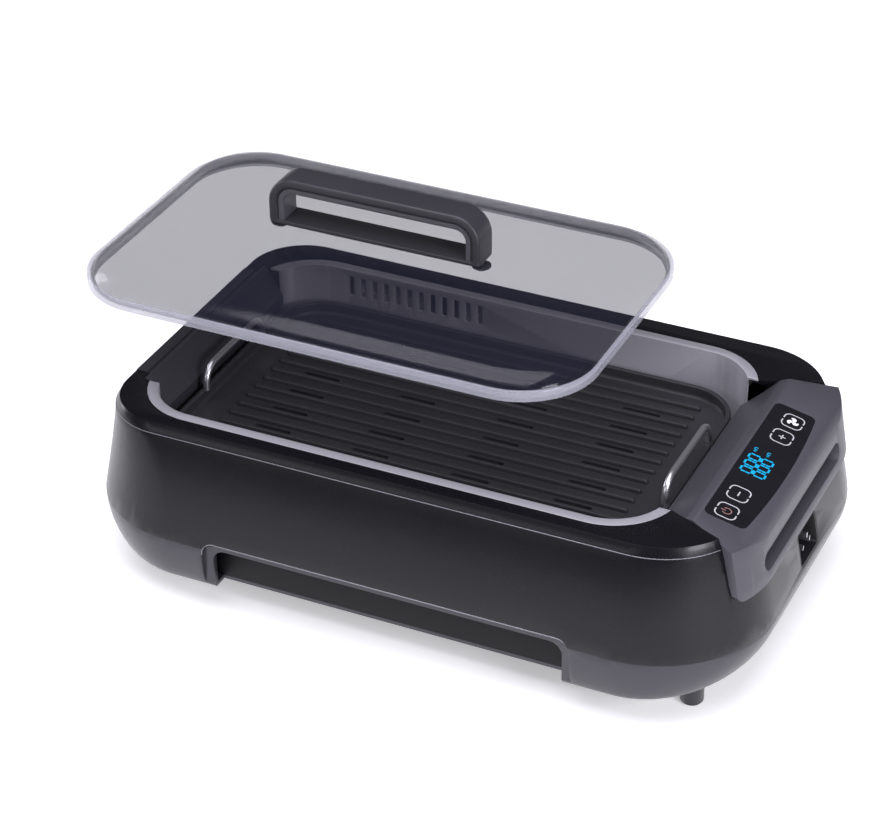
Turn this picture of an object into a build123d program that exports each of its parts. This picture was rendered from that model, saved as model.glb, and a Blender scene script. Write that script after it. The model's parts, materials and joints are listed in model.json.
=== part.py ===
from build123d import *
from math import atan2, cos, degrees, hypot, radians, sin
import os

# Smokeless indoor grill, millimetres. +X runs to the control panel end, +Y to the back, +Z up.
# Everything is drawn round the middle of the body and moved once at the end, so that the origin is on the
# table under the middle of the whole outline. The lid is drawn lifted off, above and to the left of its seat.

# Clearances and one overrun for every cut
FIT = 0.3
SNUG = 0.1
OVERRUN = 5.0

# Body outline, measured at the seam between the housing and the base
BODY_LENGTH = 520.0
BODY_DEPTH = 328.0
SEAM_CORNER = 90.0
LEG_HEIGHT = 25.0
BASE_HEIGHT = 36.0
WALL_HEIGHT = 75.0
BEVEL_HEIGHT = 7.0
BODY_TAPER = 20.0
BEVEL_INSET = 4.0
BELLY_HEIGHT = 34.0
BELLY_INSET = 6.5
SHELL_WALL = 3.0
LEDGE_WALL = 4.0
SEAM_Z = LEG_HEIGHT + BASE_HEIGHT
BELLY_Z = SEAM_Z + BELLY_HEIGHT
SHOULDER_Z = SEAM_Z + WALL_HEIGHT
LEDGE_Z = SHOULDER_Z + BEVEL_HEIGHT
SHOULDER_CORNER = 66.0
LEDGE_CORNER = 60.0
LEFT_SHOULDER_CORNER = 50.0
LEFT_LEDGE_CORNER = 44.0

# Base bowl, which turns in under the body
BASE_END_INSET = 38.0
BASE_SIDE_INSET = 9.0
BASE_CORNER_LOSS = 40.0
BOWL_TURNS = (0.0, 30.0, 60.0, 90.0)
BASE_FLOOR = 3.0
LEG_RADIUS = 8.5
LEG_END_GAP = 46.0
LEG_SIDE_GAP = 56.0
LEG_X = BODY_LENGTH / 2 - LEG_END_GAP
LEG_Y = BODY_DEPTH / 2 - LEG_SIDE_GAP
PAD_HEIGHT = 2.0
PAD_RADIUS = 7.5
TONGUE_HEIGHT = 9.0
TONGUE_WALL = 3.0

# Arches in the long sides
ARCH_END_GAP = 117.0
ARCH_LENGTH = BODY_LENGTH - 2 * ARCH_END_GAP
ARCH_RISE = 5.5
ARCH_CORNER = 10.0
ARCH_LIP = 7.0
ARCH_STEP = 5.0
ARCH_BAR_TOP = 8.0
ARCH_BAR_REACH = 7.0

# Cooking well and its liner
WELL_LEFT_GAP = 38.0
WELL_RIGHT_GAP = 72.0
WELL_FRONT_GAP = 35.0
WELL_REAR_GAP = 41.0
WELL_X = (WELL_LEFT_GAP - WELL_RIGHT_GAP) / 2
WELL_Y = (WELL_FRONT_GAP - WELL_REAR_GAP) / 2
FLANGE_LENGTH = BODY_LENGTH - WELL_LEFT_GAP - WELL_RIGHT_GAP
FLANGE_DEPTH = BODY_DEPTH - WELL_FRONT_GAP - WELL_REAR_GAP
FLANGE_CORNER = 50.0
FLANGE_THICKNESS = 2.0
FLANGE_WIDTH = 6.5
LINER_WALL = 1.6
LINER_FLOOR_RISE = 3.0
LINER_FLOOR_Z = SEAM_Z + LINER_FLOOR_RISE
END_SHOULDER = 34.0
END_OPENING = FLANGE_DEPTH - 2 * END_SHOULDER
END_SILL_RISE = 51.0
END_SILL_Z = SEAM_Z + END_SILL_RISE
VENT_COUNT = 12
VENT_PITCH = 10.0
VENT_WIDTH = 4.0
VENT_HEIGHT = 16.0
VENT_DROP = 6.0
VENT_START = 52.6

# Grill plate
PLATE_END_GAP = 18.0
PLATE_SIDE_GAP = 13.0
PLATE_LENGTH = FLANGE_LENGTH - 2 * PLATE_END_GAP
PLATE_DEPTH = FLANGE_DEPTH - 2 * PLATE_SIDE_GAP
PLATE_CORNER = 40.0
PLATE_RISE = 45.0
PLATE_TOP_Z = SEAM_Z + PLATE_RISE
PLATE_THICKNESS = 5.0
PLATE_RIM_HEIGHT = 9.0
PLATE_RIM_WALL = 4.0
RIB_HEIGHT = 3.0
RIB_WIDTH = 4.0
RIB_COUNT = 15
RIB_MARGIN = 16.0
RIB_END_MARGIN = 24.0
DRAIN_LENGTH = 30.0
DRAIN_WIDTH = 4.0
DRAIN_COLUMNS = 4
WIRE_RADIUS = 2.5
WIRE_SPAN = 88.0
WIRE_HEIGHT = 20.0
WIRE_BEND = 14.0
WIRE_INSET = 4.5
WIRE_PAD_RADIUS = 4.5
SUPPORT_COUNT = 3
SUPPORT_LENGTH = 30.0
SUPPORT_THICKNESS = 5.0

# Heating element, hung under the plate
ELEMENT_RADIUS = 3.3
ELEMENT_DROP = 5.0
ELEMENT_RUNS = 6
ELEMENT_SIDE_MARGIN = 38.0
ELEMENT_LEFT_MARGIN = 27.0
ELEMENT_RIGHT_MARGIN = 55.0
ELEMENT_SPREAD = PLATE_DEPTH - 2 * ELEMENT_SIDE_MARGIN
ELEMENT_LEFT = PLATE_LENGTH / 2 - ELEMENT_LEFT_MARGIN
ELEMENT_RIGHT = PLATE_LENGTH / 2 - ELEMENT_RIGHT_MARGIN
ELEMENT_PITCH = ELEMENT_SPREAD / (ELEMENT_RUNS - 1)
CLAMP_WIDTH = 12.0
CLAMP_PLACES = (-110.0, 50.0)
ELEMENT_STRAIGHT = 2.0
ELEMENT_BEND = (ELEMENT_PITCH - ELEMENT_STRAIGHT) / 2
BOSS_RADIUS = 4.5
CLAMP_THICKNESS = 1.5
CLAMP_SCREW_RADIUS = 2.0
CLAMP_HEAD_RADIUS = 3.6
CLAMP_HEAD_HEIGHT = 1.8
PLUG_LENGTH = 20.0
PLUG_DEPTH = 56.0
PLUG_END_GAP = 2.0
PLUG_CORNER = 3.0
PIN_RADIUS = 2.4
PIN_DROP = 13.0
PIN_SPACING = 18.0
SOCKET_RISE = 15.0

# Drip tray
TRAY_LEFT_GAP = 9.0
TRAY_END_MARGIN = 13.0
TRAY_SIDE_MARGIN = 10.0
TRAY_LENGTH = PLATE_LENGTH - 2 * TRAY_END_MARGIN
TRAY_DEPTH = PLATE_DEPTH - 2 * TRAY_SIDE_MARGIN
TRAY_CORNER = 30.0
TRAY_HEIGHT = 18.0
TRAY_WALL = 1.4
TRAY_LIP = 4.0

# Left end cover
COVER_MARGIN = 9.0
COVER_HALF_SPAN = END_OPENING / 2 - COVER_MARGIN
COVER_WALL = 2.2
COVER_RISE = 0.8
COVER_GROOVE_WIDTH = 2.6
COVER_GROOVE_DEPTH = 1.2
COVER_SLOPE_RUN = 14.0
COVER_SLOPE_DROP = 22.0
COVER_OUTER_DROP = 2.0

# Control panel
PANEL_SIDE_GAP = 49.0
PANEL_FLARE_GAP = 22.0
PANEL_INNER_HALF_SPAN = END_OPENING / 2
PANEL_OUTER_HALF_SPAN = BODY_DEPTH / 2 - PANEL_SIDE_GAP
PANEL_FLARE_X = BODY_LENGTH / 2 - PANEL_FLARE_GAP
PANEL_WALL = 2.6
PANEL_SEAM_GROWTH = 2.0
PANEL_TOP_INSET = 12.0
PANEL_GAP = 0.4
PANEL_PLATE_GAP = 2.0
PANEL_SLOPE_RUN = 27.0
PANEL_SLOPE_DROP = 25.5
PANEL_CREST = 6.0
PANEL_RISE = 1.6
PANEL_FACE_RUN = 42.0
PANEL_FACE_DROP = 9.5
PANEL_BROW_RUN = 6.0
PANEL_BROW_DROP = 8.0
PANEL_LIP_GAP = 4.0
PANEL_BEND = 5.0
SKIRT_CORNER = 6.0
SKIRT_RISE = 36.0
SKIRT_BOTTOM_Z = SEAM_Z + SKIRT_RISE
BAY_RISE = 40.5
BAY_BOTTOM_Z = SEAM_Z + BAY_RISE
GLASS_END_GAP = 15.5
GLASS_LENGTH = 2 * (PANEL_INNER_HALF_SPAN - GLASS_END_GAP)
GLASS_WIDTH = 31.0
GLASS_BOW = 4.5
GLASS_INSET = 2.0
GLASS_THICKNESS = 1.6
GLASS_CORNER = 5.0
GLASS_Y = -9.5
GLASS_LEDGE = 3.0
GRIP_END_GAP = 35.0
GRIP_LENGTH = 2 * (PANEL_OUTER_HALF_SPAN - GRIP_END_GAP)
GRIP_HEIGHT = 15.0
GRIP_DEPTH = 7.0
GRIP_Y = -5.0
GRIP_RISE = 51.0
GRIP_Z = SEAM_Z + GRIP_RISE
GRIP_WALL = 1.8

# Electronics under the panel
BOARD_THICKNESS = 1.6
CONTROL_BOARD_LENGTH = GLASS_LENGTH - 4 * GLASS_LEDGE
CONTROL_BOARD_WIDTH = 26.0
DISPLAY_LENGTH = 46.0
DISPLAY_WIDTH = 22.0
DISPLAY_HEIGHT = 5.0
SENSOR_RADIUS = 3.5
SENSOR_SHARES = (-0.4, -0.29, 0.29, 0.4)
POWER_BOARD_LENGTH = 40.0
POWER_BOARD_END_GAP = 59.0
POWER_BOARD_FRONT_GAP = 52.0
BOARD_PART_GAP = 3.0
BOARD_POST_HEIGHT = 8.0
BOARD_POST_RADIUS = 3.0
RELAY_LENGTH = 16.0
RELAY_DEPTH = 20.0
RELAY_HEIGHT = 15.0
CAPACITOR_RADIUS = 6.0
CAPACITOR_HEIGHT = 20.0
TRANSFORMER_SIDE = 18.0

# Power inlet in the right end
INLET_RISE = 18.0
INLET_Z = SEAM_Z + INLET_RISE
INLET_WIDTH = 38.0
INLET_HEIGHT = 28.0
INLET_CORNER = 4.0
INLET_DEPTH = 20.0
INLET_WALL = 2.0
INLET_PIN_LENGTH = 14.0
INLET_PIN_WIDTH = 4.0
INLET_PIN_THICKNESS = 2.0
INLET_PIN_SPREAD = 7.0
INLET_PIN_DROP = 3.5

# Blower and smoke duct
FAN_END_GAP = 46.5
FAN_REAR_GAP = 102.0
FAN_FRONT_ROOM = 60.0
FAN_X = BODY_LENGTH / 2 - FAN_END_GAP
FAN_Y = BODY_DEPTH / 2 - FAN_REAR_GAP
FAN_BED_RISE = 15.0
FAN_BED_Z = LEG_HEIGHT + FAN_BED_RISE
FAN_RADIUS = 26.0
FAN_HUB_RADIUS = 8.0
FAN_HEIGHT = 20.0
FAN_PLATE = 1.5
FAN_BLADES = 14
BLADE_THICKNESS = 1.2
BLADE_CHORD = 9.0
BLADE_TURN = 35.0
SCROLL_GAP = 3.0
SCROLL_WALL = 2.0
SCROLL_INLET_RADIUS = 17.0
SHAFT_RADIUS = 2.0
MOTOR_RADIUS = 14.0
MOTOR_HEIGHT = 22.0
MOTOR_PLATE = 2.0
MOTOR_RISE = 4.0
MOTOR_ARM_WIDTH = 7.0
DUCT_DEPTH = 9.0
DUCT_WALL = 1.2
DUCT_RISE = 2.0
DUCT_MARGIN = 8.0
CHUTE_WIDTH = 18.0
CHUTE_GAP = 3.5
HOOD_RADIUS = 29.0
HOOD_HEIGHT = 30.0
OUTLET_WIDTH = 24.0
OUTLET_DEPTH = 28.0
OUTLET_REACH = 54.0
OUTLET_SLOTS = 5
OUTLET_SLOT_WIDTH = 2.6
OUTLET_FRAME = 3.0

# Inner pan, heat shield and small heat parts
PAN_END_REACH = 7.0
PAN_SIDE_GAP = 19.0
PAN_LENGTH = ARCH_LENGTH + 2 * PAN_END_REACH
PAN_DEPTH = BODY_DEPTH - 2 * PAN_SIDE_GAP
PAN_CORNER = 12.0
PAN_WALL = 2.0
PAN_SLOTS = 9
PAN_SLOT_LENGTH = 40.0
PAN_SLOT_WIDTH = 4.0
PAN_SLOT_PITCH = 10.0
PAN_TOP_DROP = 1.0
FLOOR_END_LEDGE = 30.0
FLOOR_SIDE_LEDGE = 55.0
FLOOR_OPENING_LENGTH = PAN_LENGTH - 2 * FLOOR_END_LEDGE
FLOOR_OPENING_DEPTH = PAN_DEPTH - 2 * FLOOR_SIDE_LEDGE
SHIELD_END_MARGIN = 17.0
SHIELD_SIDE_MARGIN = 18.0
SHIELD_LENGTH = PLATE_LENGTH - 2 * SHIELD_END_MARGIN
SHIELD_DEPTH = PLATE_DEPTH - 2 * SHIELD_SIDE_MARGIN
SHIELD_CORNER = 20.0
SHIELD_THICKNESS = 0.8
SHIELD_POST_RADIUS = 4.0
CUTOUT_LENGTH = 14.0
CUTOUT_DEPTH = 9.0
CUTOUT_HEIGHT = 5.0
CUTOUT_Y = 60.0

# Screws that join the base to the housing
POST_RADIUS = 5.5
POST_CORNER_GAP = 52.0
POST_TURNS = {-1: 60.0, 1: 45.0}
SCREW_RADIUS = 1.9
SCREW_LENGTH = 30.0
SCREW_HEAD_RADIUS = 3.6
SCREW_HEAD_HEIGHT = 2.4
SCREW_RECESS = 12.0

# Lid: outline, place on its seat and place in the air
LID_END_GAP = 9.0
LID_SIDE_GAP = 2.5
LID_LENGTH = FLANGE_LENGTH - 2 * LID_END_GAP
LID_DEPTH = FLANGE_DEPTH - 2 * LID_SIDE_GAP
LID_CORNER = 57.0
RIM_WIDTH = 6.0
RIM_HEIGHT = 9.0
RIM_SEAT = 3.0
RIM_ROUND = 2.0
GLASS_REBATE = 3.3
LID_GLASS = 4.0
CROWN_HEIGHT = 14.0
CROWN_INSETS = (0.0, 4.0, 14.0, 32.0)
CROWN_SHARES = (0.0, 0.4, 0.78, 1.0)
LID_LIFT = 76.5
LID_SHIFT = 57.0

# Lid handle
HANDLE_LENGTH = 168.0
HANDLE_DEPTH = 24.0
HANDLE_HEIGHT = 37.0
HANDLE_SET_LEFT = 8.0
HANDLE_SET_BACK = 15.0
HANDLE_BASE = 3.0
STRAP_THICKNESS = 7.0
STRAP_CORNER = 20.0
ARCH_BAR = 4.5
ARCH_BAR_INSET = 1.5
HANDLE_SCREW_RADIUS = 2.0
WASHER_RADIUS = 7.0
WASHER_THICKNESS = 1.2
SCREW_BITE = 9.0

# Wiring inside the right end
MAINS_WIRE_RADIUS = 1.6
WIRE_TURN = 8.0
WIRE_RUN = 12.0
WIRE_PLACE = 14.0


def rounded_block(length, depth, corner, bottom, top, x=0, y=0):
    """Upright block with rounded corners between two heights."""
    outline = Pos(x, y, bottom) * RectangleRounded(length, depth, corner)
    return extrude(outline, top - bottom)


def block(x_low, x_high, y_low, y_high, z_low, z_high):
    """Plain block between its two corners."""
    middle = Pos((x_low + x_high) / 2, (y_low + y_high) / 2, (z_low + z_high) / 2)
    return middle * Box(x_high - x_low, y_high - y_low, z_high - z_low)


def post(x, y, radius, bottom, top):
    """Upright round post between two heights."""
    return Pos(x, y, (bottom + top) / 2) * Cylinder(radius, top - bottom)


def body_section(z, end_inset, side_inset, corner, left_corner=None):
    """Body outline at one height, drawn in from the seam's outline; the left corners may be tighter."""
    outline = Rectangle(BODY_LENGTH - 2 * end_inset, BODY_DEPTH - 2 * side_inset)
    left, right = outline.vertices().group_by(Axis.X)
    outline = fillet(left, corner if left_corner is None else left_corner)
    right = outline.vertices().group_by(Axis.X)[-1]
    return Pos(0, 0, z) * fillet(right, corner)


def housing_form(skin, top):
    """Solid inside the housing's outer surface, drawn in by skin, up to a height in the bevel."""
    wall = [
        body_section(SEAM_Z, skin, skin, SEAM_CORNER - skin),
        body_section(BELLY_Z, BELLY_INSET + skin, BELLY_INSET + skin, SEAM_CORNER - BELLY_INSET - skin),
        body_section(
            SHOULDER_Z, BODY_TAPER + skin, BODY_TAPER + skin, SHOULDER_CORNER - skin, LEFT_SHOULDER_CORNER - skin
        ),
    ]
    form = loft(wall)
    share = (top - SHOULDER_Z) / BEVEL_HEIGHT
    inset = BODY_TAPER + BEVEL_INSET * share + skin
    corner = SHOULDER_CORNER + (LEDGE_CORNER - SHOULDER_CORNER) * share - skin
    left = LEFT_SHOULDER_CORNER + (LEFT_LEDGE_CORNER - LEFT_SHOULDER_CORNER) * share - skin
    return form + loft([wall[-1], body_section(top, inset, inset, corner, left)], ruled=True)


def bowl_form(skin, floor):
    """Solid inside the base bowl, a quarter ellipse from the seam down, drawn in by skin and cut at floor."""
    depth = SEAM_Z - floor
    sections = []
    for turn in BOWL_TURNS:
        fall = 1 - cos(radians(turn))
        sections.append(
            body_section(
                SEAM_Z - depth * sin(radians(turn)),
                BASE_END_INSET * fall + skin,
                BASE_SIDE_INSET * fall + skin,
                SEAM_CORNER - BASE_CORNER_LOSS * fall - skin,
            )
        )
    return loft(sections)


def arch_cut(margin, y_low, y_high, top):
    """Block that opens an arch through a long side; a margin makes the opening smaller."""
    half = ARCH_LENGTH / 2 - margin
    height = top - margin
    outline = Rectangle(2 * half, 2 * height)
    corners = outline.vertices().group_by(Axis.Y)[-1]
    outline = fillet(corners, ARCH_CORNER)
    wall = extrude(Plane.XZ * outline, -(y_high - y_low))
    return Pos(0, y_low, 0) * wall


def both_arches(margin, depth, top):
    """The arch opened from both long sides to one depth from the seam's outline."""
    outer = BODY_DEPTH / 2 + OVERRUN
    inner = BODY_DEPTH / 2 - depth
    return arch_cut(margin, -outer, -inner, top) + arch_cut(margin, inner, outer, top)


def strip(points, thickness):
    """Closed outline of a bent sheet: a line of points and the same line moved to its right by thickness."""
    moved = []
    for i, point in enumerate(points):
        before = points[max(i - 1, 0)]
        after = points[min(i + 1, len(points) - 1)]
        normals = []
        for start, end in ((before, point), (point, after)):
            run = hypot(end[0] - start[0], end[1] - start[1])
            if run > 0:
                normals.append(((end[1] - start[1]) / run, -(end[0] - start[0]) / run))
        first, last = normals[0], normals[-1]
        meet = 1 + first[0] * last[0] + first[1] * last[1]
        reach = thickness / meet
        moved.append((point[0] + reach * (first[0] + last[0]), point[1] + reach * (first[1] + last[1])))
    return points + moved[::-1]


def profile_block(points, half_span, y=0, bend=0, bent=()):
    """Outline drawn in X and Z, carried along Y to both sides of y; its bent corners get the radius bend."""
    face = make_face(Polyline([(x, 0, z) for x, z in points], close=True))
    if bent:
        corners = [face.vertices().sort_by_distance((x, 0, z))[0] for x, z in bent]
        face = fillet(corners, bend)
    return Pos(0, y, 0) * extrude(face, half_span, both=True)


def tube(points, bends, radius):
    """Round wire along straight runs joined by arcs."""
    path = FilletPolyline(*points, radius=bends)
    start = Plane(origin=path @ 0, z_dir=path % 0)
    return sweep(start * Circle(radius), path=path)


def panel_plan(margin, bottom, top, x_low, x_high):
    """Block over the control panel's plan: straight at the well, flared to the end of the body."""
    inner = PANEL_INNER_HALF_SPAN + margin
    outer = PANEL_OUTER_HALF_SPAN + margin
    points = [
        (x_low, -inner),
        (FLANGE_RIGHT, -inner),
        (PANEL_FLARE_X, -outer),
        (x_high, -outer),
        (x_high, outer),
        (PANEL_FLARE_X, outer),
        (FLANGE_RIGHT, inner),
        (x_low, inner),
    ]
    return Pos(0, 0, bottom) * extrude(make_face(Polyline(points, close=True)), top - bottom)


# Places worked out from the sizes above
FLANGE_RIGHT = WELL_X + FLANGE_LENGTH / 2
FLANGE_LEFT = WELL_X - FLANGE_LENGTH / 2
WELL_WALL_LENGTH = FLANGE_LENGTH - 2 * FLANGE_WIDTH
WELL_WALL_DEPTH = FLANGE_DEPTH - 2 * FLANGE_WIDTH
WELL_WALL_CORNER = FLANGE_CORNER - FLANGE_WIDTH
WELL_INNER_LENGTH = WELL_WALL_LENGTH - 2 * LINER_WALL
WELL_INNER_DEPTH = WELL_WALL_DEPTH - 2 * LINER_WALL
WELL_INNER_CORNER = WELL_WALL_CORNER - LINER_WALL
WELL_INNER_RIGHT = WELL_X + WELL_INNER_LENGTH / 2
WELL_INNER_LEFT = WELL_X - WELL_INNER_LENGTH / 2
WELL_REAR_WALL = WELL_Y + WELL_WALL_DEPTH / 2
WELL_RIGHT_WALL = WELL_X + WELL_WALL_LENGTH / 2
VENT_LEFT = WELL_INNER_LEFT + VENT_START
VENT_TOP_Z = LEDGE_Z - VENT_DROP
COVER_BOTTOM_Z = SHOULDER_Z - COVER_OUTER_DROP
LINER_BED_Z = LINER_FLOOR_Z + LINER_WALL
PLATE_BOTTOM_Z = PLATE_TOP_Z - PLATE_THICKNESS
PLATE_RIM_Z = PLATE_TOP_Z + PLATE_RIM_HEIGHT
ELEMENT_Z = PLATE_BOTTOM_Z - ELEMENT_DROP
PAN_BOTTOM_Z = LEG_HEIGHT + BASE_FLOOR
PAN_TOP_Z = SEAM_Z - PAN_TOP_DROP
PAN_BED_Z = PAN_BOTTOM_Z + PAN_WALL
PANEL_START_X = WELL_X + PLATE_LENGTH / 2 + PANEL_PLATE_GAP
PANEL_SLOPE_Z = LEDGE_Z - PANEL_SLOPE_DROP
PANEL_FACE_X = PANEL_START_X + PANEL_SLOPE_RUN + PANEL_CREST
PANEL_FACE_Z = LEDGE_Z + PANEL_RISE
PLUG_X = WELL_X + PLATE_LENGTH / 2 - PLUG_END_GAP - PLUG_LENGTH / 2
SOCKET_TOP_Z = LINER_BED_Z + SOCKET_RISE
CLAMP_Z = ELEMENT_Z - ELEMENT_RADIUS - CLAMP_THICKNESS
BOARD_Z = PAN_BOTTOM_Z + BOARD_POST_HEIGHT
SCROLL_TOP_Z = FAN_BED_Z + FAN_HEIGHT + 2 * SCROLL_GAP
MOTOR_BOTTOM_Z = SCROLL_TOP_Z + MOTOR_RISE
DUCT_FRONT = WELL_REAR_WALL
CHUTE_X = WELL_RIGHT_WALL + CHUTE_GAP
CROWN_TOP = RIM_SEAT + LID_GLASS + CROWN_HEIGHT
HANDLE_X = -HANDLE_SET_LEFT
HANDLE_SCREW_SPACING = HANDLE_LENGTH - STRAP_THICKNESS
ARCH_TOP_Z = SEAM_Z + ARCH_RISE
INLET_Y = FAN_Y - FAN_FRONT_ROOM
POWER_BOARD_FRONT = POWER_BOARD_FRONT_GAP - BODY_DEPTH / 2
POWER_BOARD_REAR = FAN_Y - FAN_FRONT_ROOM
POWER_BOARD_DEPTH = POWER_BOARD_REAR - POWER_BOARD_FRONT
POWER_BOARD_X = BODY_LENGTH / 2 - POWER_BOARD_END_GAP
POWER_BOARD_Y = (POWER_BOARD_REAR + POWER_BOARD_FRONT) / 2
LID_LEFT = WELL_X - LID_SHIFT - LID_LENGTH / 2
FRAME_SHIFT = -(LID_LEFT + BODY_LENGTH / 2) / 2
PANEL_FACE_ANGLE = degrees(atan2(PANEL_FACE_DROP, PANEL_FACE_RUN))
CORNER_POSTS = [
    (WELL_X + side * (WELL_WALL_LENGTH / 2 - WELL_WALL_CORNER + POST_CORNER_GAP * cos(radians(turn))),
     WELL_Y + end * (WELL_WALL_DEPTH / 2 - WELL_WALL_CORNER + POST_CORNER_GAP * sin(radians(turn))))
    for side, turn in POST_TURNS.items()
    for end in (-1, 1)
]


def outer_housing():
    """Dark shell from the seam to the ledge, open for the liner, the end cover, the panel and the inlet."""
    shell = housing_form(0, LEDGE_Z) - housing_form(SHELL_WALL, LEDGE_Z - LEDGE_WALL)
    for x, y in CORNER_POSTS:
        shell += post(x, y, POST_RADIUS, SEAM_Z, LEDGE_Z - LEDGE_WALL)
        shell -= post(x, y, SCREW_RADIUS, SEAM_Z - OVERRUN, SEAM_Z + SCREW_LENGTH)
    seat = (FLANGE_LENGTH + 2 * FIT, FLANGE_DEPTH + 2 * FIT, FLANGE_CORNER + FIT)
    shell -= rounded_block(*seat, LEDGE_Z - FLANGE_THICKNESS, LEDGE_Z + OVERRUN, WELL_X, WELL_Y)
    throat = (WELL_WALL_LENGTH + 2 * FIT, WELL_WALL_DEPTH + 2 * FIT, WELL_WALL_CORNER + FIT)
    shell -= rounded_block(*throat, SEAM_Z, LEDGE_Z + OVERRUN, WELL_X, WELL_Y)
    shell -= cover_bay()
    shell -= panel_plan(FIT, BAY_BOTTOM_Z, LEDGE_Z + OVERRUN, WELL_INNER_RIGHT, BODY_LENGTH)
    shell -= both_arches(0, SHELL_WALL + BODY_TAPER, ARCH_TOP_Z)
    shell -= inlet_block(0, INLET_DEPTH + OVERRUN)
    return shell


def cover_bay():
    """Room in the ledge for the left end cover."""
    half = COVER_HALF_SPAN + FIT
    top = LEDGE_Z + OVERRUN
    bay = block(-BODY_LENGTH / 2, WELL_INNER_LEFT, -half, half, COVER_BOTTOM_Z, top)
    opening = END_OPENING / 2
    left = FLANGE_LEFT - COVER_WALL - FIT
    return bay + block(left, WELL_INNER_LEFT, -opening, opening, END_SILL_Z, top)


def base_shell():
    """Grey bowl with four moulded legs, a stepped arch in each long side and a tongue inside the seam."""
    hollow = bowl_form(SHELL_WALL, PAN_BOTTOM_Z) - arch_backs(PAN_BOTTOM_Z, SEAM_Z + OVERRUN, BODY_DEPTH)
    shell = bowl_form(0, LEG_HEIGHT) - hollow
    shell += seam_tongue()
    opening = (FLOOR_OPENING_LENGTH, FLOOR_OPENING_DEPTH, PAN_CORNER)
    shell -= rounded_block(*opening, LEG_HEIGHT - OVERRUN, PAN_BOTTOM_Z + OVERRUN)
    for x in (-LEG_X, LEG_X):
        for y in (-LEG_Y, LEG_Y):
            shell += post(x, y, LEG_RADIUS, PAD_HEIGHT, PAN_BOTTOM_Z)
    for x, y in CORNER_POSTS:
        shell += post(x, y, POST_RADIUS, LEG_HEIGHT + SNUG, SEAM_Z)
        shell -= post(x, y, SCREW_RADIUS + SNUG, LEG_HEIGHT - OVERRUN, SEAM_Z + OVERRUN)
        shell -= post(x, y, SCREW_HEAD_RADIUS + SNUG, LEG_HEIGHT - OVERRUN, LEG_HEIGHT + SCREW_RECESS)
    shell -= both_arches(0, ARCH_STEP, ARCH_TOP_Z)
    shell -= both_arches(ARCH_LIP, PAN_SIDE_GAP + FIT, ARCH_TOP_Z)
    shell -= inlet_block(FIT, INLET_DEPTH + OVERRUN)
    return shell - outlet_block(0, LEG_HEIGHT - OVERRUN, PAN_BOTTOM_Z + OVERRUN)


def arch_backs(low, high, outer):
    """Two blocks behind the arches that reach from the arch's step to a distance from the middle."""
    half = ARCH_LENGTH / 2 + ARCH_BAR_REACH
    face = BODY_DEPTH / 2 - 2 * ARCH_STEP
    front = block(-half, half, -outer, -face, low, high)
    return front + block(-half, half, face, outer, low, high)


def seam_tongue():
    """Ring that joins the base to the housing from inside, with a straight bar over each arch."""
    inset = SHELL_WALL + BELLY_INSET
    size = (BODY_LENGTH - 2 * inset, BODY_DEPTH - 2 * inset)
    corner = SEAM_CORNER - inset
    low = SEAM_Z - TONGUE_WALL
    top = SEAM_Z + TONGUE_HEIGHT
    ring = rounded_block(*size, corner, low, top)
    buried = SHELL_WALL / 2
    shelf = (BODY_LENGTH - 2 * buried, BODY_DEPTH - 2 * buried, SEAM_CORNER - buried)
    ring += rounded_block(*shelf, low, SEAM_Z) & bowl_form(buried, LEG_HEIGHT)
    ring += arch_backs(low, SEAM_Z + ARCH_BAR_TOP, BODY_DEPTH / 2 - ARCH_STEP)
    inner = [value - 2 * TONGUE_WALL for value in size]
    return ring - rounded_block(*inner, corner - TONGUE_WALL, low - OVERRUN, top + OVERRUN)


def bottom_pan():
    """Black pan between the arches: open at the top, with cooling slots in its floor."""
    pan = rounded_block(PAN_LENGTH, PAN_DEPTH, PAN_CORNER, PAN_BOTTOM_Z, PAN_TOP_Z)
    inner = (PAN_LENGTH - 2 * PAN_WALL, PAN_DEPTH - 2 * PAN_WALL, PAN_CORNER - PAN_WALL)
    pan -= rounded_block(*inner, PAN_BED_Z, PAN_TOP_Z + OVERRUN)
    for i in range(PAN_SLOTS):
        x = (i - (PAN_SLOTS - 1) / 2) * PAN_SLOT_PITCH
        slot = Pos(x, 0, PAN_BOTTOM_Z - OVERRUN) * SlotOverall(PAN_SLOT_LENGTH, PAN_SLOT_WIDTH, rotation=90)
        pan -= extrude(slot, PAN_WALL + 2 * OVERRUN)
    return pan


def foot_pad(x, y):
    """Rubber disc pressed under a leg, with a rounded lower edge."""
    pad = post(x, y, PAD_RADIUS, 0, PAD_HEIGHT)
    return fillet(pad.edges().group_by(Axis.Z)[0], PAD_HEIGHT / 2)


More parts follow.
